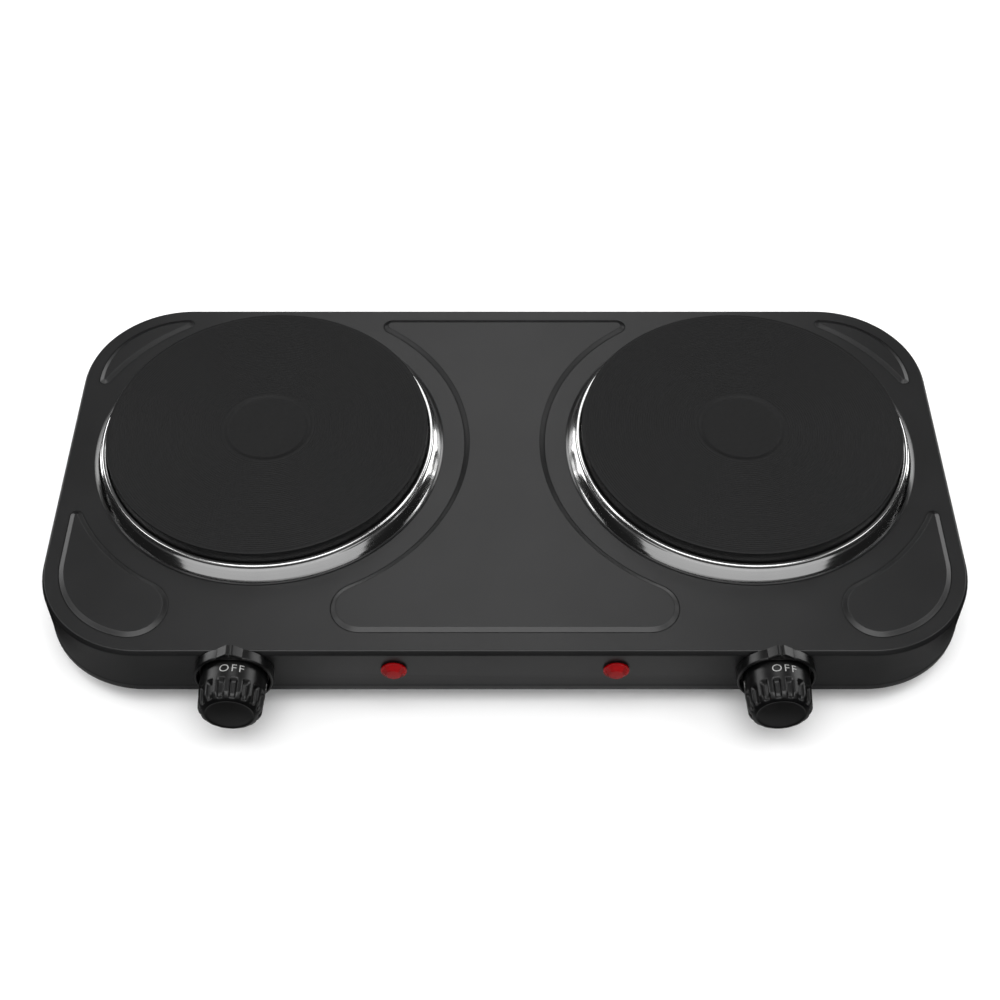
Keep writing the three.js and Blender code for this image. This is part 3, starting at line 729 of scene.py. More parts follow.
def fold_profile(sizes):
    """(inset, drop) points of the fold at the deck's rim: a soft bend, a steep flat and a tight bend."""
    slope = math.radians(60)
    upper = sizes.fold_radius * 0.3
    lower = sizes.fold_radius * 0.7
    steps = 6
    points = [(0.0, 0.0)]
    for i in range(steps + 1):
        a = slope * i / steps
        points.append((-upper * math.sin(a), upper * (1 - math.cos(a))))
    run = sizes.fold_radius - points[-1][1] - lower * math.cos(slope)
    start = (points[-1][0] - run / math.tan(slope), points[-1][1] + run)
    for i in range(steps + 1):
        a = slope + (QUARTER - slope) * i / steps
        points.append((
            start[0] - lower * (math.sin(a) - math.sin(slope)),
            start[1] + lower * (math.cos(slope) - math.cos(a)),
        ))
    outermost = points[-1][0]
    return [(inset - outermost, drop) for inset, drop in points[1:]]


def skirt_profile(sizes, deck_z):
    """(inset, z) points from the deck's rim down the skirt, round the hem and up the inside."""
    face = sizes.hem_step
    inner = face + sizes.sheet
    hem_top = SKIRT_BOTTOM + sizes.hem_height
    steps = 8
    turns = [QUARTER * i / steps for i in range(steps + 1)]
    outer_fold = [(face + inset, deck_z - drop) for inset, drop in fold_profile(sizes)]
    under = deck_z - sizes.sheet
    tight = sizes.fold_radius - sizes.sheet
    inner_fold = [
        (inner + tight * (1 - math.cos(a)), under - tight * (1 - math.sin(a)))
        for a in turns
    ]
    bead = [(face, hem_top + 0.5 * MM), (face * 0.7, hem_top + 0.2 * MM), (face * 0.2, hem_top - 0.2 * MM)]
    lip = [
        (sizes.sheet * (1 - math.cos(2 * a)), SKIRT_BOTTOM + sizes.sheet * (1 - math.sin(2 * a)))
        for a in turns
    ]
    back = [
        (2 * sizes.sheet, hem_top - 0.3 * MM), (2 * sizes.sheet - 0.1 * MM, hem_top),
        (inner, hem_top + 0.1 * MM),
    ]
    guard = [(face, outer_fold[-1][1] - 2 * GUARD)]
    return [*outer_fold[1:], *guard, *bead, (0, hem_top - 0.6 * MM), *lip, *back, *inner_fold[:-1]]


def wall_drills(sizes):
    """Cutters for the holes in the front and rear walls."""
    drills = bmesh.new()
    half = 4 * sizes.sheet
    for side, _ in SIDES:
        knob_x = middle(f"knob_{side}").x
        add_drill(drills, Vector((knob_x, FRONT_Y, CONTROL_Z)), sizes.shaft_hole, half, "Y")
        for place in ("inner", "outer"):
            screw_x = middle(f"thermostat_screw_{place}_{side}").x
            add_drill(drills, Vector((screw_x, FRONT_Y, CONTROL_Z)), 2 * MM, half, "Y")
        lamp_x = middle(f"lamp_lens_{side}").x
        add_drill(drills, Vector((lamp_x, FRONT_Y, CONTROL_Z)), sizes.lamp_hole, half, "Y")
    add_drill(drills, Vector((middle("cord_gland").x, REAR_Y, CONTROL_Z)), sizes.cord_hole, half, "Y")
    return drills


def housing_mesh(sizes):
    """The pressed housing as one closed sheet with its hem, panels, openings and holes."""
    plan = DeckPlan(sizes)
    deck_z = HOUSING_HIGH.z - sizes.emboss_height
    rim_inset = sizes.hem_step + fold_profile(sizes)[0][0]
    under_inset = sizes.hem_step + sizes.fold_radius
    bm = bmesh.new()
    top_rim, top_edges = pressed_face(bm, plan, deck_z, rim_inset)
    under_rim, under_edges = pressed_face(bm, plan, deck_z - sizes.sheet, under_inset)
    skirt = [loop_at(bm, plan.body(inset), z) for inset, z in skirt_profile(sizes, deck_z)]
    connect_all(bm, [top_rim, *skirt, under_rim])
    for (_, sign), top, under in zip(SIDES, top_edges, under_edges):
        centre = Vector((sign * PLATE_OFFSET, plan.plate.y))
        edge = []
        for out, share in ((0.09, 0.08), (0, 0.35), (0, 0.65), (0.09, 0.92)):
            outline = circle(centre, sizes.aperture_radius + out * MM, OPENING_STEPS)
            edge.append(loop_at(bm, outline, deck_z - share * sizes.sheet))
        connect_all(bm, [top, *edge, under])
    return combine(to_mesh(bm, "enamelled_housing"), wall_drills(sizes))


def bracket_mesh(sizes, foot, end):
    """A stepped strip inside the wall, which the foot screw holds."""
    thick = 1.5 * MM
    half_width = 8 * MM
    wall = BODY_DEPTH / 2 - sizes.sheet - sizes.hem_step
    step = BODY_DEPTH / 2 - 14 * MM
    toe = abs(foot.y - BODY_MIDDLE.y) - 9 * MM
    shelf_z = 21.5 * MM
    tab_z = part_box("base_plate")[0].z + 1.1 * MM
    crown = 36 * MM
    rim = 0.2 * MM
    profile = rounded([
        (wall, crown), (wall, shelf_z), (step + thick, shelf_z), (step + thick, tab_z), (toe, tab_z),
        (toe, tab_z + thick), (step, tab_z + thick), (step, shelf_z + thick),
        (wall - thick, shelf_z + thick), (wall - thick, crown),
    ], 0.7 * MM, 3, ring=True)
    bm = bmesh.new()
    add_prism(bm, [
        [bm.verts.new((foot.x + x, BODY_MIDDLE.y + end * y, z)) for y, z in profile]
        for x in (-half_width, rim - half_width, half_width - rim, half_width)
    ])
    drill = bmesh.new()
    add_drill(drill, Vector((foot.x, foot.y, tab_z)), 2.3 * MM, 4 * MM, "Z")
    return combine(to_mesh(bm, "bracket"), drill)


def slot_outline(x, y, half_length, half_width):
    """A vent slot with round ends."""
    straight = half_length - half_width
    left = Vector((x - straight, y))
    right = Vector((x + straight, y))
    return arc(right, half_width, -QUARTER, QUARTER, 8) + arc(left, half_width, QUARTER, 3 * QUARTER, 8)


def tray_holes(plan):
    """Outlines of the tray's vent slots and screw holes."""
    outlines = []
    for _, sign in SIDES:
        for offset in (-40, -28, -16, 16, 28, 40):
            outlines.append(slot_outline(
                sign * PLATE_OFFSET, plan.plate.y + offset * MM, 30 * MM, 2 * MM,
            ))
    for side, _ in SIDES:
        for end, _ in ENDS:
            outlines.append(circle(middle(f"foot_screw_{end}_{side}").xy, 2.4 * MM, 24))
    for node in ("mains_block_screw", "earth_screw"):
        outlines.append(circle(middle(node).xy, 2 * MM, 24))
    return outlines


def tray_mesh(sizes):
    """The base tray: a shallow pan with a turned-up rim, vent slots and screw holes."""
    plan = DeckPlan(sizes)
    low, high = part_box("base_plate")
    inset = HOUSING_HIGH.x - high.x
    sheet = sizes.sheet
    rim = 5 * MM
    flat = 6 * MM
    profile = rounded([(flat, 0), (0, 0), (0, rim), (sheet, rim), (sheet, sheet), (flat, sheet)], 0.7 * MM)
    bm = bmesh.new()
    loops = [loop_at(bm, plan.body(inset + a), low.z + b) for a, b in profile]
    connect_all(bm, loops)
    lower = [loop_at(bm, outline, low.z) for outline in tray_holes(plan)]
    upper = [loop_at(bm, outline, low.z + sheet) for outline in tray_holes(plan)]
    for a, b in zip(lower, upper):
        connect(bm, a, b)
    fill_level(bm, [loops[0], *lower])
    fill_level(bm, [loops[-1], *upper])
    return to_mesh(bm, "steel_tray")


class HOTPLATE_OT_housing(bpy.types.Operator):
    """Builds the pressed housing with its foot brackets"""

    bl_idname = "hotplate.housing"
    bl_label = "Housing"

    def execute(self, context):
        sizes = context.scene.hot_plate_housing
        enamel = black_enamel(context.scene.hot_plate_finishes)
        add_piece("enamelled_housing", housing_mesh(sizes), enamel, ["top_housing"])
        for side, _ in SIDES:
            for end, sign in ENDS:
                mesh = bracket_mesh(sizes, middle(f"foot_{end}_{side}"), sign)
                add_piece(f"foot_bracket_{end}_{side}", mesh, enamel)
        return {"FINISHED"}


class HOTPLATE_OT_tray(bpy.types.Operator):
    """Builds the base tray that closes the housing from below"""

    bl_idname = "hotplate.tray"
    bl_label = "Base tray"

    def execute(self, context):
        mesh = tray_mesh(context.scene.hot_plate_housing)
        add_piece("steel_tray", mesh, galvanised_sheet(), ["base_plate"])
        return {"FINISHED"}


# ---- feet

def foot_mesh():
    """A tapered rubber foot with a pocket for the screw."""
    profile = [(2.5, 4), (5.6, 4), (5.6, 0), (10, 0), (11, 1), (12, 13.2), (2.5, 13.2)]
    return turned_mesh("rubber_foot", profile, 0.5, 4, 64)


def cross_cutter(z, reach):
    """The cutter for a cross recess, with Z into the head."""
    cutter = bmesh.new()
    for a, b in ((2.2, 0.45), (0.45, 2.2)):
        bar = bmesh.ops.create_cube(cutter, size=1)["verts"]
        for vert in bar:
            deep = vert.co.z > 0
            narrow = 0.55 if deep else 1.0
            vert.co.x = math.copysign(a * narrow * MM, vert.co.x)
            vert.co.y = math.copysign(b * narrow * MM, vert.co.y)
            vert.co.z = z + reach if deep else z - 1 * MM
    return cutter


def foot_screw_mesh():
    """A pan head screw, head down, with a thread on its shank."""
    bm = bmesh.new()
    head = rounded(in_mm([(0, 1.2), (3.6, 1.35), (4.6, 2.3), (4.6, 3.1), (4.1, 3.7), (2, 3.7)]), 0.4 * MM)
    thread = []
    for i in range(22):
        z = (4.4 + 0.7 * i) * MM
        thread += [(1.62 * MM, z), (2 * MM, z + 0.35 * MM)]
    lathe(bm, [*head, *thread, (1.4 * MM, 19.9 * MM), (0, 20 * MM)], 32)
    return to_mesh(bm, "foot_screw")


class HOTPLATE_OT_feet(bpy.types.Operator):
    """Builds the four rubber feet and their cross-head screws"""

    bl_idname = "hotplate.feet"
    bl_label = "Feet"

    def execute(self, context):
        rubber = black_rubber()
        zinc = zinc_steel()
        foot = foot_mesh()
        screw = combine(foot_screw_mesh(), cross_cutter(1.2 * MM, 1.6 * MM))
        for side, _ in SIDES:
            for end, _ in ENDS:
                node = f"foot_{end}_{side}"
                place = (*middle(node).xy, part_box(node)[0].z)
                name = f"rubber_foot_{end}_{side}"
                add_piece(name, foot, rubber, [node], place)
                node = f"foot_screw_{end}_{side}"
                name = f"cross_screw_{end}_{side}"
                add_piece(name, screw, zinc, [node], place)
        return {"FINISHED"}


# ---- plates and rings

def groove_profile(sizes, outer, inner):
    """Heights of the machined grooves from one radius in to another, at zero on the lands."""
    per_groove = 6
    steps = round((outer - inner) / sizes.groove_pitch) * per_groove
    points = []
    for i in range(steps + 1):
        radius = outer - (outer - inner) * i / steps
        wave = 0.5 - 0.5 * math.cos(TURN * i / per_groove)
        points.append((radius, -sizes.groove_depth * wave ** 0.7))
    return points


def plate_mesh(sizes, node):
    """A cast iron plate about its own axis, hollow below, with grooves and a recess on top."""
    low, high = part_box(node)
    top = high.z
    radius = (high.x - low.x) / 2
    step = top - 13 * MM
    under = top - 22.5 * MM
    roof = top - 5.5 * MM
    boss = top - 18 * MM
    bore = 3.4 * MM
    hub_radius = 16 * MM
    inner_wall = 82 * MM
    outer_wall = 88.8 * MM
    body = rounded([
        (0, roof), (bore, roof), (bore, boss), (hub_radius, boss), (hub_radius, roof), (inner_wall, roof),
        (inner_wall, under), (outer_wall, under), (outer_wall, step), (radius, step), (radius, top),
        (90.6 * MM, top),
    ], 0.9 * MM, 5)
    grooves = [(r, top + h) for r, h in groove_profile(sizes, 90.5 * MM, sizes.recess_radius + 1.5 * MM)]
    floor = top - sizes.recess_depth
    hub = rounded([
        (sizes.recess_radius + 1.4 * MM, top), (sizes.recess_radius + 0.3 * MM, top),
        (sizes.recess_radius - 2.2 * MM, floor), (8 * MM, floor), (0, floor),
    ], 0.8 * MM, 4)
    bm = bmesh.new()
    lathe(bm, [*body, *grooves, *hub], sizes.facets)
    return to_mesh(bm, node + "_iron", 50)


def ring_mesh(sizes, node):
    """A polished drip ring about its own axis: bead, round shoulder, crease and rolled lip."""
    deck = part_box(node)[0].z - RING_LIFT
    outside = [
        (101.5, 0.3), (101.5, 0.8), (101.1, 1.7), (100.2, 3.1), (98.6, 5.1), (97.1, 6.8), (96.2, 7.5),
        (95.9, 7.9), (95.8, 8.8), (95.3, 9.3), (94.3, 9.4), (93.5, 9.3), (93.1, 8.8),
    ]
    profile = [
        (89.2, 2.4), (93.9, 2.4), (94.0, 7.2), (95.6, 6.7), (99.9, 1.3), (100.6, 0.3),
        *outside, (93.1, 3.2), (89.2, 3.2),
    ]
    points = [(r * MM, deck + h * MM) for r, h in profile]
    bm = bmesh.new()
    lathe(bm, rounded(points, 0.35 * MM, 4, ring=True), sizes.facets)
    return to_mesh(bm, node + "_steel", 60)


class HOTPLATE_OT_plates(bpy.types.Operator):
    """Builds the two cast iron plates"""

    bl_idname = "hotplate.plates"
    bl_label = "Plates"

    def execute(self, context):
        iron = cast_iron(context.scene.hot_plate_finishes)
        for side, _ in SIDES:
            node = f"hotplate_{side}"
            mesh = plate_mesh(context.scene.hot_plate_plates, node)
            place = (*middle(node).xy, 0)
            add_piece(f"iron_plate_{side}", mesh, iron, [node], place)
        return {"FINISHED"}


class HOTPLATE_OT_rings(bpy.types.Operator):
    """Builds the polished ring round each plate"""

    bl_idname = "hotplate.rings"
    bl_label = "Drip rings"

    def execute(self, context):
        steel = polished_steel(context.scene.hot_plate_finishes)
        for side, _ in SIDES:
            node = f"drip_ring_{side}"
            mesh = ring_mesh(context.scene.hot_plate_plates, node)
            place = (*middle(node).xy, 0)
            add_piece(f"polished_ring_{side}", mesh, steel, [node], place)
        return {"FINISHED"}


# ---- controls
# Each control is drawn about its own axis, with Z = 0 on the panel, Z to the front and Y up.

def smooth(low, high, value):
    """Goes from 0 at low to 1 at high without a corner."""
    t = min(1.0, max(0.0, (value - low) / (high - low)))
    return t * t * (3 - 2 * t)


def collar_mesh():
    """The collar round a knob, with an index groove at the top."""
    profile = [(6, 0.3), (21, 0.3), (21, 6.0), (20.5, 6.8), (19.5, 6.8), (19.2, 1.8), (6, 1.8)]
    collar = turned_mesh("knob_collar", profile, 0.45, 5, 144)
    outline = rounded(in_mm([(-7.2, 19.7), (7.2, 19.7), (1.5, 23.6), (-1.5, 23.6)]), 0.8 * MM, 5, ring=True)
    pointer = bmesh.new()
    add_prism(pointer, [
        [pointer.verts.new((x * shrink, y * shrink, z * MM)) for x, y in outline]
        for shrink, z in ((1, 0.3), (1, 6.0), (0.985, 6.5), (0.96, 6.75))
    ])
    cutter = bmesh.new()
    groove = in_mm([(-0.4, 22.4), (0.4, 22.4), (0.4, 25), (-0.4, 25)])
    add_prism(cutter, [[cutter.verts.new((x, y, z * MM)) for x, y in groove] for z in (-1, 8)])
    for _, sign in SIDES:
        add_drill(cutter, Vector((sign * 12 * MM, 0, 1 * MM)), 2 * MM, 2 * MM, "Z")
    return combine(combine(collar, pointer, "UNION"), cutter)


def knob_levels(depth):
    """(radius, reach, flute depth) from the shaft bore over the hollow back, the side and the face."""
    flute_start = (15.8 * MM, 18 * MM)
    flute_end = (25.6 * MM, 28 * MM)
    plain_face = 12 * MM
    outside = rounded(in_mm([
        (3, 16.2), *KNOB_BAND, (25, 17.0), (27.3, 15.6), (28.3, 13.4), (28.3, 12.8), (28.0, 12.3),
        (28.0, 4), (28.0, 0),
    ]), 1.1 * MM, 5)
    inside = in_mm([(22, 0), (22, 3.3), (5, 3.3), (5, 5.5), (25, 5.5), (25, 13.4), (17, 15), (3, 16.2)])
    levels = [(radius, reach, 0.0) for reach, radius in rounded(inside, 0.4 * MM, 2)]
    fine = []
    for (reach, radius), (next_reach, next_radius) in zip(outside, outside[1:]):
        pieces = max(1, math.ceil(abs(next_reach - reach) / (0.6 * MM)))
        for i in range(pieces):
            t = i / pieces
            fine.append((reach + (next_reach - reach) * t, radius + (next_radius - radius) * t))
    fine.append(outside[-1])
    for reach, radius in fine:
        flute = 0.0
        if radius > plain_face:
            flute = depth * smooth(*flute_start, reach) * (1 - smooth(*flute_end, reach))
        levels.append((radius, reach, flute))
    return levels


def knob_mesh(sizes):
    """A fluted knob with a hollow back and a boss for the shaft."""
    per_flute = 14
    shaft_flat = 2.1 * MM
    bore = 3.4 * MM

    def section(level, turn):
        radius, _, depth = level
        wave = smooth(0.3, 0.7, 0.5 - 0.5 * math.cos(turn * sizes.flutes))
        r = radius - depth * wave
        y = r * math.cos(turn)
        return -r * math.sin(turn), min(y, shaft_flat) if radius < bore else y

    bm = bmesh.new()
    lathe(bm, knob_levels(sizes.flute_depth), sizes.flutes * per_flute, section)
    return to_mesh(bm, "fluted_knob", 45)


def letter_mesh(text, height):
    """Flat letters in the XY plane, centred, as one closed thin solid per letter."""
    widen = 1.15
    curve = bpy.data.curves.new("letters", "FONT")
    curve.body = text
    curve.size = 1
    curve.offset = -0.006
    curve.space_character = 1.2
    curve.resolution_u = 6
    curve.extrude = 0.5
    holder = add_object("letters", curve)
    graph = bpy.context.evaluated_depsgraph_get()
    mesh = bpy.data.meshes.new_from_object(holder.evaluated_get(graph))
    bpy.data.objects.remove(holder)
    bm = bmesh.new()
    bm.from_mesh(mesh)
    bmesh.ops.remove_doubles(bm, verts=bm.verts, dist=1e-5)
    low = [min(v.co[i] for v in bm.verts) for i in range(3)]
    high = [max(v.co[i] for v in bm.verts) for i in range(3)]
    scale = height / (high[1] - low[1])
    for vert in bm.verts:
        vert.co.x = (vert.co.x - (low[0] + high[0]) / 2) * scale * widen
        vert.co.y = (vert.co.y - (low[1] + high[1]) / 2) * scale
        vert.co.z = 1.0 if vert.co.z > 0 else 0.0
    return bm


def wrap_letters(bm, angle, reach, radius_at, relief):
    """Bends flat letters round the knob, at an angle clockwise from the top."""
    width = max(v.co.x for v in bm.verts)
    step = 0.5 * MM
    cuts = int(width / step) + 1
    for i in range(-cuts, cuts + 1):
        geometry = [*bm.verts, *bm.edges, *bm.faces]
        bmesh.ops.bisect_plane(bm, geom=geometry, plane_co=(i * step, 0, 0), plane_no=(1, 0, 0))
    for vert in bm.verts:
        place = reach - vert.co.y
        radius = radius_at(place)
        turn = angle + vert.co.x / radius
        height = radius + (relief if vert.co.z > 0.5 else -relief)
        vert.co = (height * math.sin(turn), height * math.cos(turn), place)


def marks_mesh(sizes):
    """OFF and the numbers 1 to 5 round the smooth band of the knob."""
    reach = 10.6 * MM
    sweep = math.radians(frame["joints"][0]["range_deg"][1])
    numbers = 5
    (start, wide), (end, narrow) = in_mm(KNOB_BAND)

    def radius_at(place):
        return wide + (narrow - wide) * (place - start) / (end - start)

    whole = bmesh.new()
    texts = [("OFF", 0.0)] + [
        (str(n), -sweep * (n + 1) / (numbers + 1)) for n in range(1, numbers + 1)
    ]
    for text, turn in texts:
        letters = letter_mesh(text, sizes.mark_height)
        wrap_letters(letters, sizes.off_angle + turn, reach, radius_at, sizes.mark_relief)
        part = bpy.data.meshes.new("part")
        letters.to_mesh(part)
        letters.free()
        whole.from_mesh(part)
        bpy.data.meshes.remove(part)
    return to_mesh(whole, "knob_marks", 40)


class HOTPLATE_OT_knobs(bpy.types.Operator):
    """Builds the knobs, their printed marks and their collars"""

    bl_idname = "hotplate.knobs"
    bl_label = "Knobs"

    def execute(self, context):
        sizes = context.scene.hot_plate_controls
        finishes = context.scene.hot_plate_finishes
        plastic = gloss_plastic(finishes)
        ink = mark_ink(finishes)
        knob = knob_mesh(sizes)
        marks = marks_mesh(sizes)
        collar = collar_mesh()
        for side, _ in SIDES:
            place = (middle(f"knob_{side}").x, FRONT_Y, CONTROL_Z)
            body = f"{side}_control"
            add_piece(f"fluted_knob_{side}", knob, plastic, [f"knob_{side}"], place, 1, body)
            add_piece(f"knob_marks_{side}", marks, ink, [], place, 1, body)
            add_piece(f"knob_collar_{side}", collar, plastic, [f"knob_bezel_{side}"], place, 1)
        return {"FINISHED"}


def lens_mesh(sizes):
    """A faceted lamp lens with a round flange, hollow from behind."""
    half_facet = TURN / sizes.lens_facets / 2
    back = [(0, 1.4), (3.3, 1.0), (3.4, 0.6), (3.4, -11), (4.8, -11)]
    flange = [(4.8, 0.3), (6.7, 0.3), (7.0, 0.5), (7.0, 1.0), (6.75, 1.25)]
    facets = [(6.5, 1.3), (4.3, 3.5), (4.1, 3.6)]
    levels = in_mm([*back, *flange, *facets, (0, 4.1)])
    faceted = in_mm(facets)

    def section(level, turn):
        radius = level[0]
        if level in faceted:
            slack = turn % (2 * half_facet) - half_facet
            radius *= math.cos(half_facet) / math.cos(slack)
        return radius * math.cos(turn), radius * math.sin(turn)

    bm = bmesh.new()
    lathe(bm, levels, sizes.lens_facets * 6, section)
    return to_mesh(bm, "faceted_lens", 12)


def neon_mesh():
    """The small neon tube behind a lens."""
    profile = [(0, -14), (2.6, -14), (2.9, -12), (2.9, -1), (1.8, 0.3), (0, 0.7)]
    return turned_mesh("neon_tube", profile, 1, 5, 40, ring=False)


class HOTPLATE_OT_lamps(bpy.types.Operator):
    """Builds the two red pilot lamps"""

    bl_idname = "hotplate.lamps"
    bl_label = "Pilot lamps"

    def execute(self, context):
        red = red_glow(context.scene.hot_plate_finishes)
        glass = neon_glass()
        lens = lens_mesh(context.scene.hot_plate_controls)
        tube = neon_mesh()
        for side, _ in SIDES:
            place = (middle(f"lamp_lens_{side}").x, FRONT_Y, CONTROL_Z)
            add_piece(f"faceted_lens_{side}", lens, red, [f"lamp_lens_{side}"], place, 1)
            add_piece(f"neon_tube_{side}", tube, glass, [f"neon_lamp_{side}"], place, 1)
        return {"FINISHED"}


# ---- cord bush

def bush_mesh():
    """A ribbed rubber bush in the rear wall, about its own axis with Z to the rear."""
    profile = [
        (3.6, -8), (6, -8), (7, -1.1), (5.6, -1.1), (5.6, 0.3), (7.8, 0.3), (7.6, 1.8), (6.6, 2.2),
        (6.6, 3.2), (6.1, 3.4), (6.1, 4.1), (6.3, 4.3), (6.3, 5.0), (5.9, 5.5), (5.5, 5.8), (3.6, 5.8),
    ]
    return turned_mesh("cord_bush", profile, 0.35, 4, 64)


class HOTPLATE_OT_bush(bpy.types.Operator):
    """Builds the bush in the rear wall that the cord comes out of"""

    bl_idname = "hotplate.bush"
    bl_label = "Cord bush"

    def execute(self, context):
        place = (middle("cord_gland").x, REAR_Y, CONTROL_Z)
        add_piece("cord_bush", bush_mesh(), black_rubber(), ["cord_gland"], place, -1)
        return {"FINISHED"}


# ---- pieces inside the housing

def weld(node):
    """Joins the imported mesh's points where they meet."""
    modifier = node.modifiers.new("weld", "WELD")
    modifier.merge_threshold = SAME_POINT


def soften(node, width):
    """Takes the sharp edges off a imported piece."""
    weld(node)
    bevel = node.modifiers.new("edge", "BEVEL")
    bevel.width = width
    bevel.segments = 2
    bevel.limit_method = "ANGLE"
    bevel.angle_limit = math.radians(40)


def smooth_sleeve(node):
    """Rounds a lead's sleeve."""
    weld(node)
    round_off = node.modifiers.new("round", "SUBSURF")
    round_off.levels = 1
    round_off.render_levels = 1


class HOTPLATE_OT_inside(bpy.types.Operator):
    """Finishes the pieces inside the housing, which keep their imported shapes"""

    bl_idname = "hotplate.inside"
    bl_label = "Inside"

    def execute(self, context):
        steel_parts = (
            "clamp_bridge", "centre_stud", "centre_nut", "thermostat_shaft", "thermostat_bracket",
            "thermostat_screw", "lamp_clip", "mains_block_screw", "earth_screw",
        )
        ceramic_parts = ("terminal_block", "thermostat_", "mains_block")
        finishes = {
            **dict.fromkeys(steel_parts, zinc_steel()),
            **dict.fromkeys(ceramic_parts, white_ceramic()),
            "heating_element": pressed_mineral(),
            "element_cover": galvanised_sheet(),
            "live_wire": lead_sleeve("brown_sleeve", (0.15, 0.06, 0.025)),
            "neutral_wire": lead_sleeve("blue_sleeve", (0.03, 0.1, 0.35)),
            "switched_wire": lead_sleeve("black_sleeve", (0.02, 0.02, 0.021)),
            "lamp_wire": lead_sleeve("white_sleeve", (0.75, 0.73, 0.68)),
            "earth_wire": lead_sleeve("green_sleeve", (0.07, 0.25, 0.05)),
        }
        for name, node in frame["nodes"].items():
            if node.hide_render:
                continue
            known = [start for start in finishes if name.startswith(start)]
            if not known:
                raise RuntimeError(f"{name} has no finish")
            node.data.materials.clear()
            node.data.materials.append(finishes[max(known, key=len)])
            if "wire" in name:
                smooth_sleeve(node)
            else:
                soften(node, 0.25 * MM)
        return {"FINISHED"}


# ---- stage

CENTRE = (0, 0, 0)
LIGHTS = (  # name, place, aim and size in metres, and power in watts
    ("top", (0, -0.5, 1.9), (0, -0.5, 0), (1.7, 1.3), 20),
    ("front", (0, -1.1, 0.8), CENTRE, (3.0, 1.1), 4.4),
    ("back", (0, 1.6, 1.5), CENTRE, (0.9, 0.8), 3.2),
    ("strip", (0, 1.5, 2.55), CENTRE, (1.1, 0.35), 3.9),
)
SIDE_LIGHTS = (  # the same for the lights on the right; each has a twin on the left
    ("low", (1.66, 1.15, 0.62), CENTRE, (0.9, 1.2), 9),
    ("high", (1.5, 0.2, 1.8), CENTRE, (0.8, 0.9), 5),
)


def add_light(name, place, aim, size, power):
    """A soft rectangular light aimed at a point."""
    data = bpy.data.lights.new(name, "AREA")
    data.shape = "RECTANGLE"
    data.size, data.size_y = size
    data.energy = power
    light = add_object(name, data)
    light.location = place
    light.rotation_euler = (Vector(aim) - Vector(place)).to_track_quat("-Z", "Y").to_euler()


def add_lights():
    """All the lights, with the side lights on both sides."""
    for light in LIGHTS:
        add_light(*light)
    for side, sign in SIDES:
        for name, place, *rest in SIDE_LIGHTS:
            add_light(f"{name}_{side}", (sign * place[0], *place[1:]), *rest)


def add_card(name, steps, reach, height, material, hidden_from=()):
    """A flat square on the stage, which some kinds of rays may not see."""
    bm = bmesh.new()
    bmesh.ops.create_grid(bm, x_segments=steps, y_segments=steps, size=reach)
    card = add_object(name, to_mesh(bm, name))
    card.location.z = height
    card.data.materials.append(material)
    for ray in hidden_from:
        setattr(card, f"visible_{ray}", False)


def add_floor(base):
    """A wide pale floor."""
    matt = {"Specular IOR Level": 0.1}
    add_card("floor", 8, 12, 0, new_finish("pale_floor", base, None, (500, 3, 0.85, 0.95), others=matt))


def add_flag():
    """A black card over the floor, which only reflections see. It keeps the skirt and knobs dark."""
    others = ("camera", "diffuse", "transmission", "volume_scatter", "shadow")
    add_card("flag", 1, 5, 0.5 * MM, flag_card(), others)


def soft_step(tree, value, span, levels):
    """A smooth change from one level to the other across the span, in metres."""
    return spread(tree, value, span, levels, interpolation_type="SMOOTHSTEP")


def flag_card():
    """Black card that fades towards the middle: darkest beyond both ends and in front of the knobs."""
    material = new_finish("flag_card", (0, 0, 0), others={"Specular IOR Level": 0.0})
    tree = material.node_tree
    split = add_node(tree, "SeparateXYZ", {"Vector": own_coordinates(tree)})
    side = maths(tree, "ABSOLUTE", split.outputs["X"])
    front = maths(tree, "MULTIPLY", split.outputs["Y"], -1)
    wing = soft_step(tree, side, (0.08, 0.16), (0.5, 0.8))
    tip = soft_step(tree, side, (0.23, 0.27), (0, 1))
    apron = soft_step(tree, front, (0.145, 0.17), (0, 1))
    cover = maths(tree, "MAXIMUM", maths(tree, "MAXIMUM", wing, tip), apron)
    set_inputs(tree, tree.nodes["Principled BSDF"], {"Alpha": cover})
    return material


def add_world():
    """Soft surroundings, dim near the horizon and lighter overhead, behind a pale backdrop."""
    horizon = 0.01
    overhead = 0.12
    backdrop = 0.75
    world = bpy.data.worlds.new("studio")
    world.use_nodes = True
    tree = world.node_tree
    direction = add_node(tree, "TexCoord").outputs["Generated"]
    height = add_node(tree, "SeparateXYZ", {"Vector": direction}).outputs["Z"]
    glow = soft_step(tree, height, (0.3, 0.95), (horizon, overhead))
    path = add_node(tree, "LightPath")
    direct = maths(tree, "ADD", path.outputs["Is Diffuse Ray"], path.outputs["Is Camera Ray"])
    strength = maths(tree, "MAXIMUM", glow, maths(tree, "MULTIPLY", direct, backdrop))
    set_inputs(tree, tree.nodes["Background"], {"Strength": strength, "Color": (1, 1, 1, 1)})
    bpy.context.scene.world = world


def add_camera(sizes):
    """The camera in front of the hot plate and above it."""
    deck = Vector((sizes.sideways, BODY_MIDDLE.y, DECK_Z))
    back = Vector((0, -math.cos(sizes.elevation), math.sin(sizes.elevation)))
    data = bpy.data.cameras.new("camera")
    data.lens = sizes.focal_length
    data.sensor_width = 36
    data.shift_y = sizes.rise
    camera = add_object("camera", data)
    camera.location = deck + back * sizes.distance
    camera.rotation_euler = (QUARTER - sizes.elevation, 0, 0)
    bpy.context.scene.camera = camera


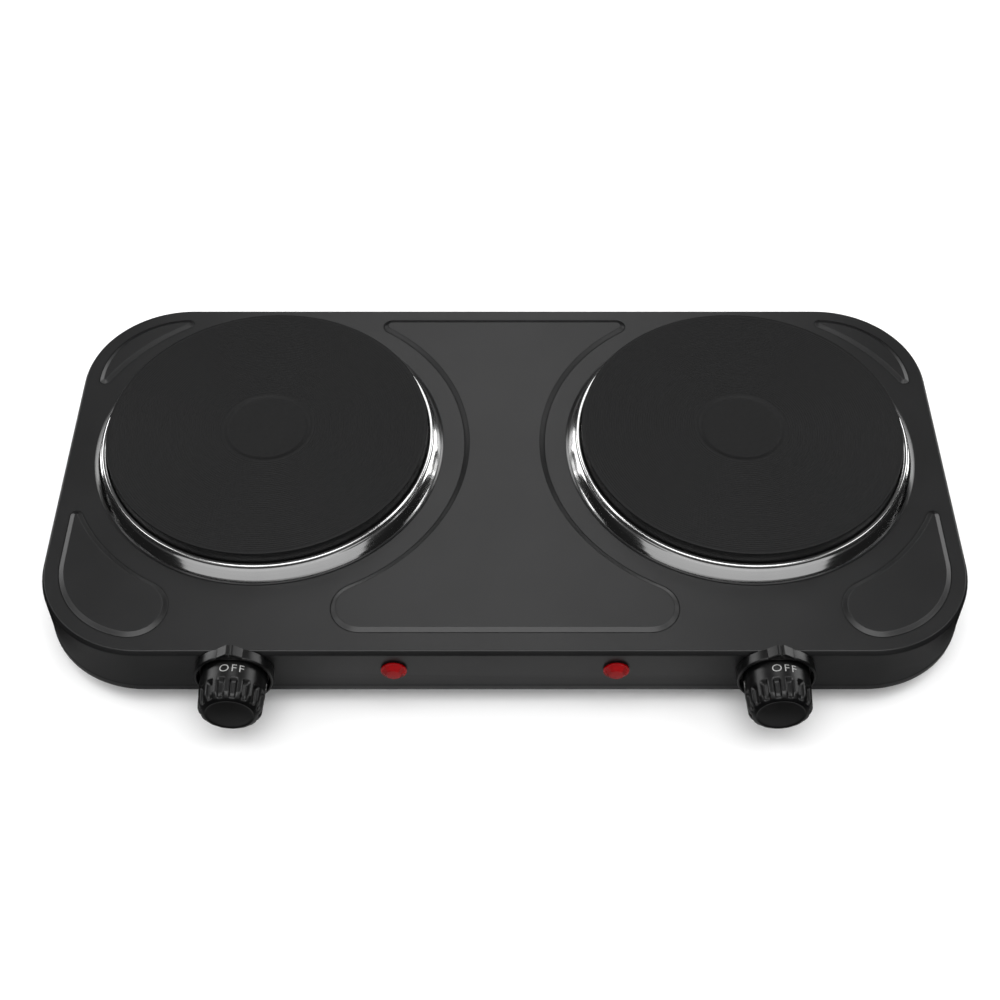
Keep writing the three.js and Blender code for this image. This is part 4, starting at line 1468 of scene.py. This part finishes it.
class HOTPLATE_OT_stage(bpy.types.Operator):
    """Adds the floor, the lights and the camera"""

    bl_idname = "hotplate.stage"
    bl_label = "Stage"

    def execute(self, context):
        sizes = context.scene.hot_plate_stage
        add_floor(sizes.floor)
        add_camera(sizes)
        add_flag()
        add_lights()
        add_world()
        context.scene.view_settings.view_transform = "Standard"
        return {"FINISHED"}


# ---- panel, registration and main

OPERATORS = (
    HOTPLATE_OT_stage, HOTPLATE_OT_housing, HOTPLATE_OT_tray, HOTPLATE_OT_feet, HOTPLATE_OT_plates,
    HOTPLATE_OT_rings, HOTPLATE_OT_knobs, HOTPLATE_OT_lamps, HOTPLATE_OT_bush, HOTPLATE_OT_inside,
)
GROUPS = {
    "hot_plate_housing": HousingSizes,
    "hot_plate_plates": PlateSizes,
    "hot_plate_controls": ControlSizes,
    "hot_plate_finishes": Finishes,
    "hot_plate_stage": StageSizes,
}


class HOTPLATE_PT_panel(bpy.types.Panel):
    """Lists the hot plate's pieces"""

    bl_label = "Hot Plate"
    bl_idname = "HOTPLATE_PT_panel"
    bl_space_type = "VIEW_3D"
    bl_region_type = "UI"
    bl_category = "Hot Plate"

    def draw(self, context):
        for operator in OPERATORS:
            self.layout.operator(operator.bl_idname)
        for name, group in GROUPS.items():
            box = self.layout.box()
            for prop in group.__annotations__:
                box.prop(getattr(context.scene, name), prop)


CLASSES = (*GROUPS.values(), *OPERATORS, HOTPLATE_PT_panel)


def register():
    """Registers the classes and puts the settings on the scene."""
    for cls in CLASSES:
        bpy.utils.register_class(cls)
    for name, group in GROUPS.items():
        setattr(bpy.types.Scene, name, bpy.props.PointerProperty(type=group))


def unregister():
    """Takes the settings off the scene and unregisters the classes."""
    for name in GROUPS:
        delattr(bpy.types.Scene, name)
    for cls in reversed(CLASSES):
        bpy.utils.unregister_class(cls)


def main():
    """Builds every piece."""
    register()
    for operator in OPERATORS:
        category, name = operator.bl_idname.split(".")
        getattr(getattr(bpy.ops, category), name)()


if __name__ == "__main__":
    main()
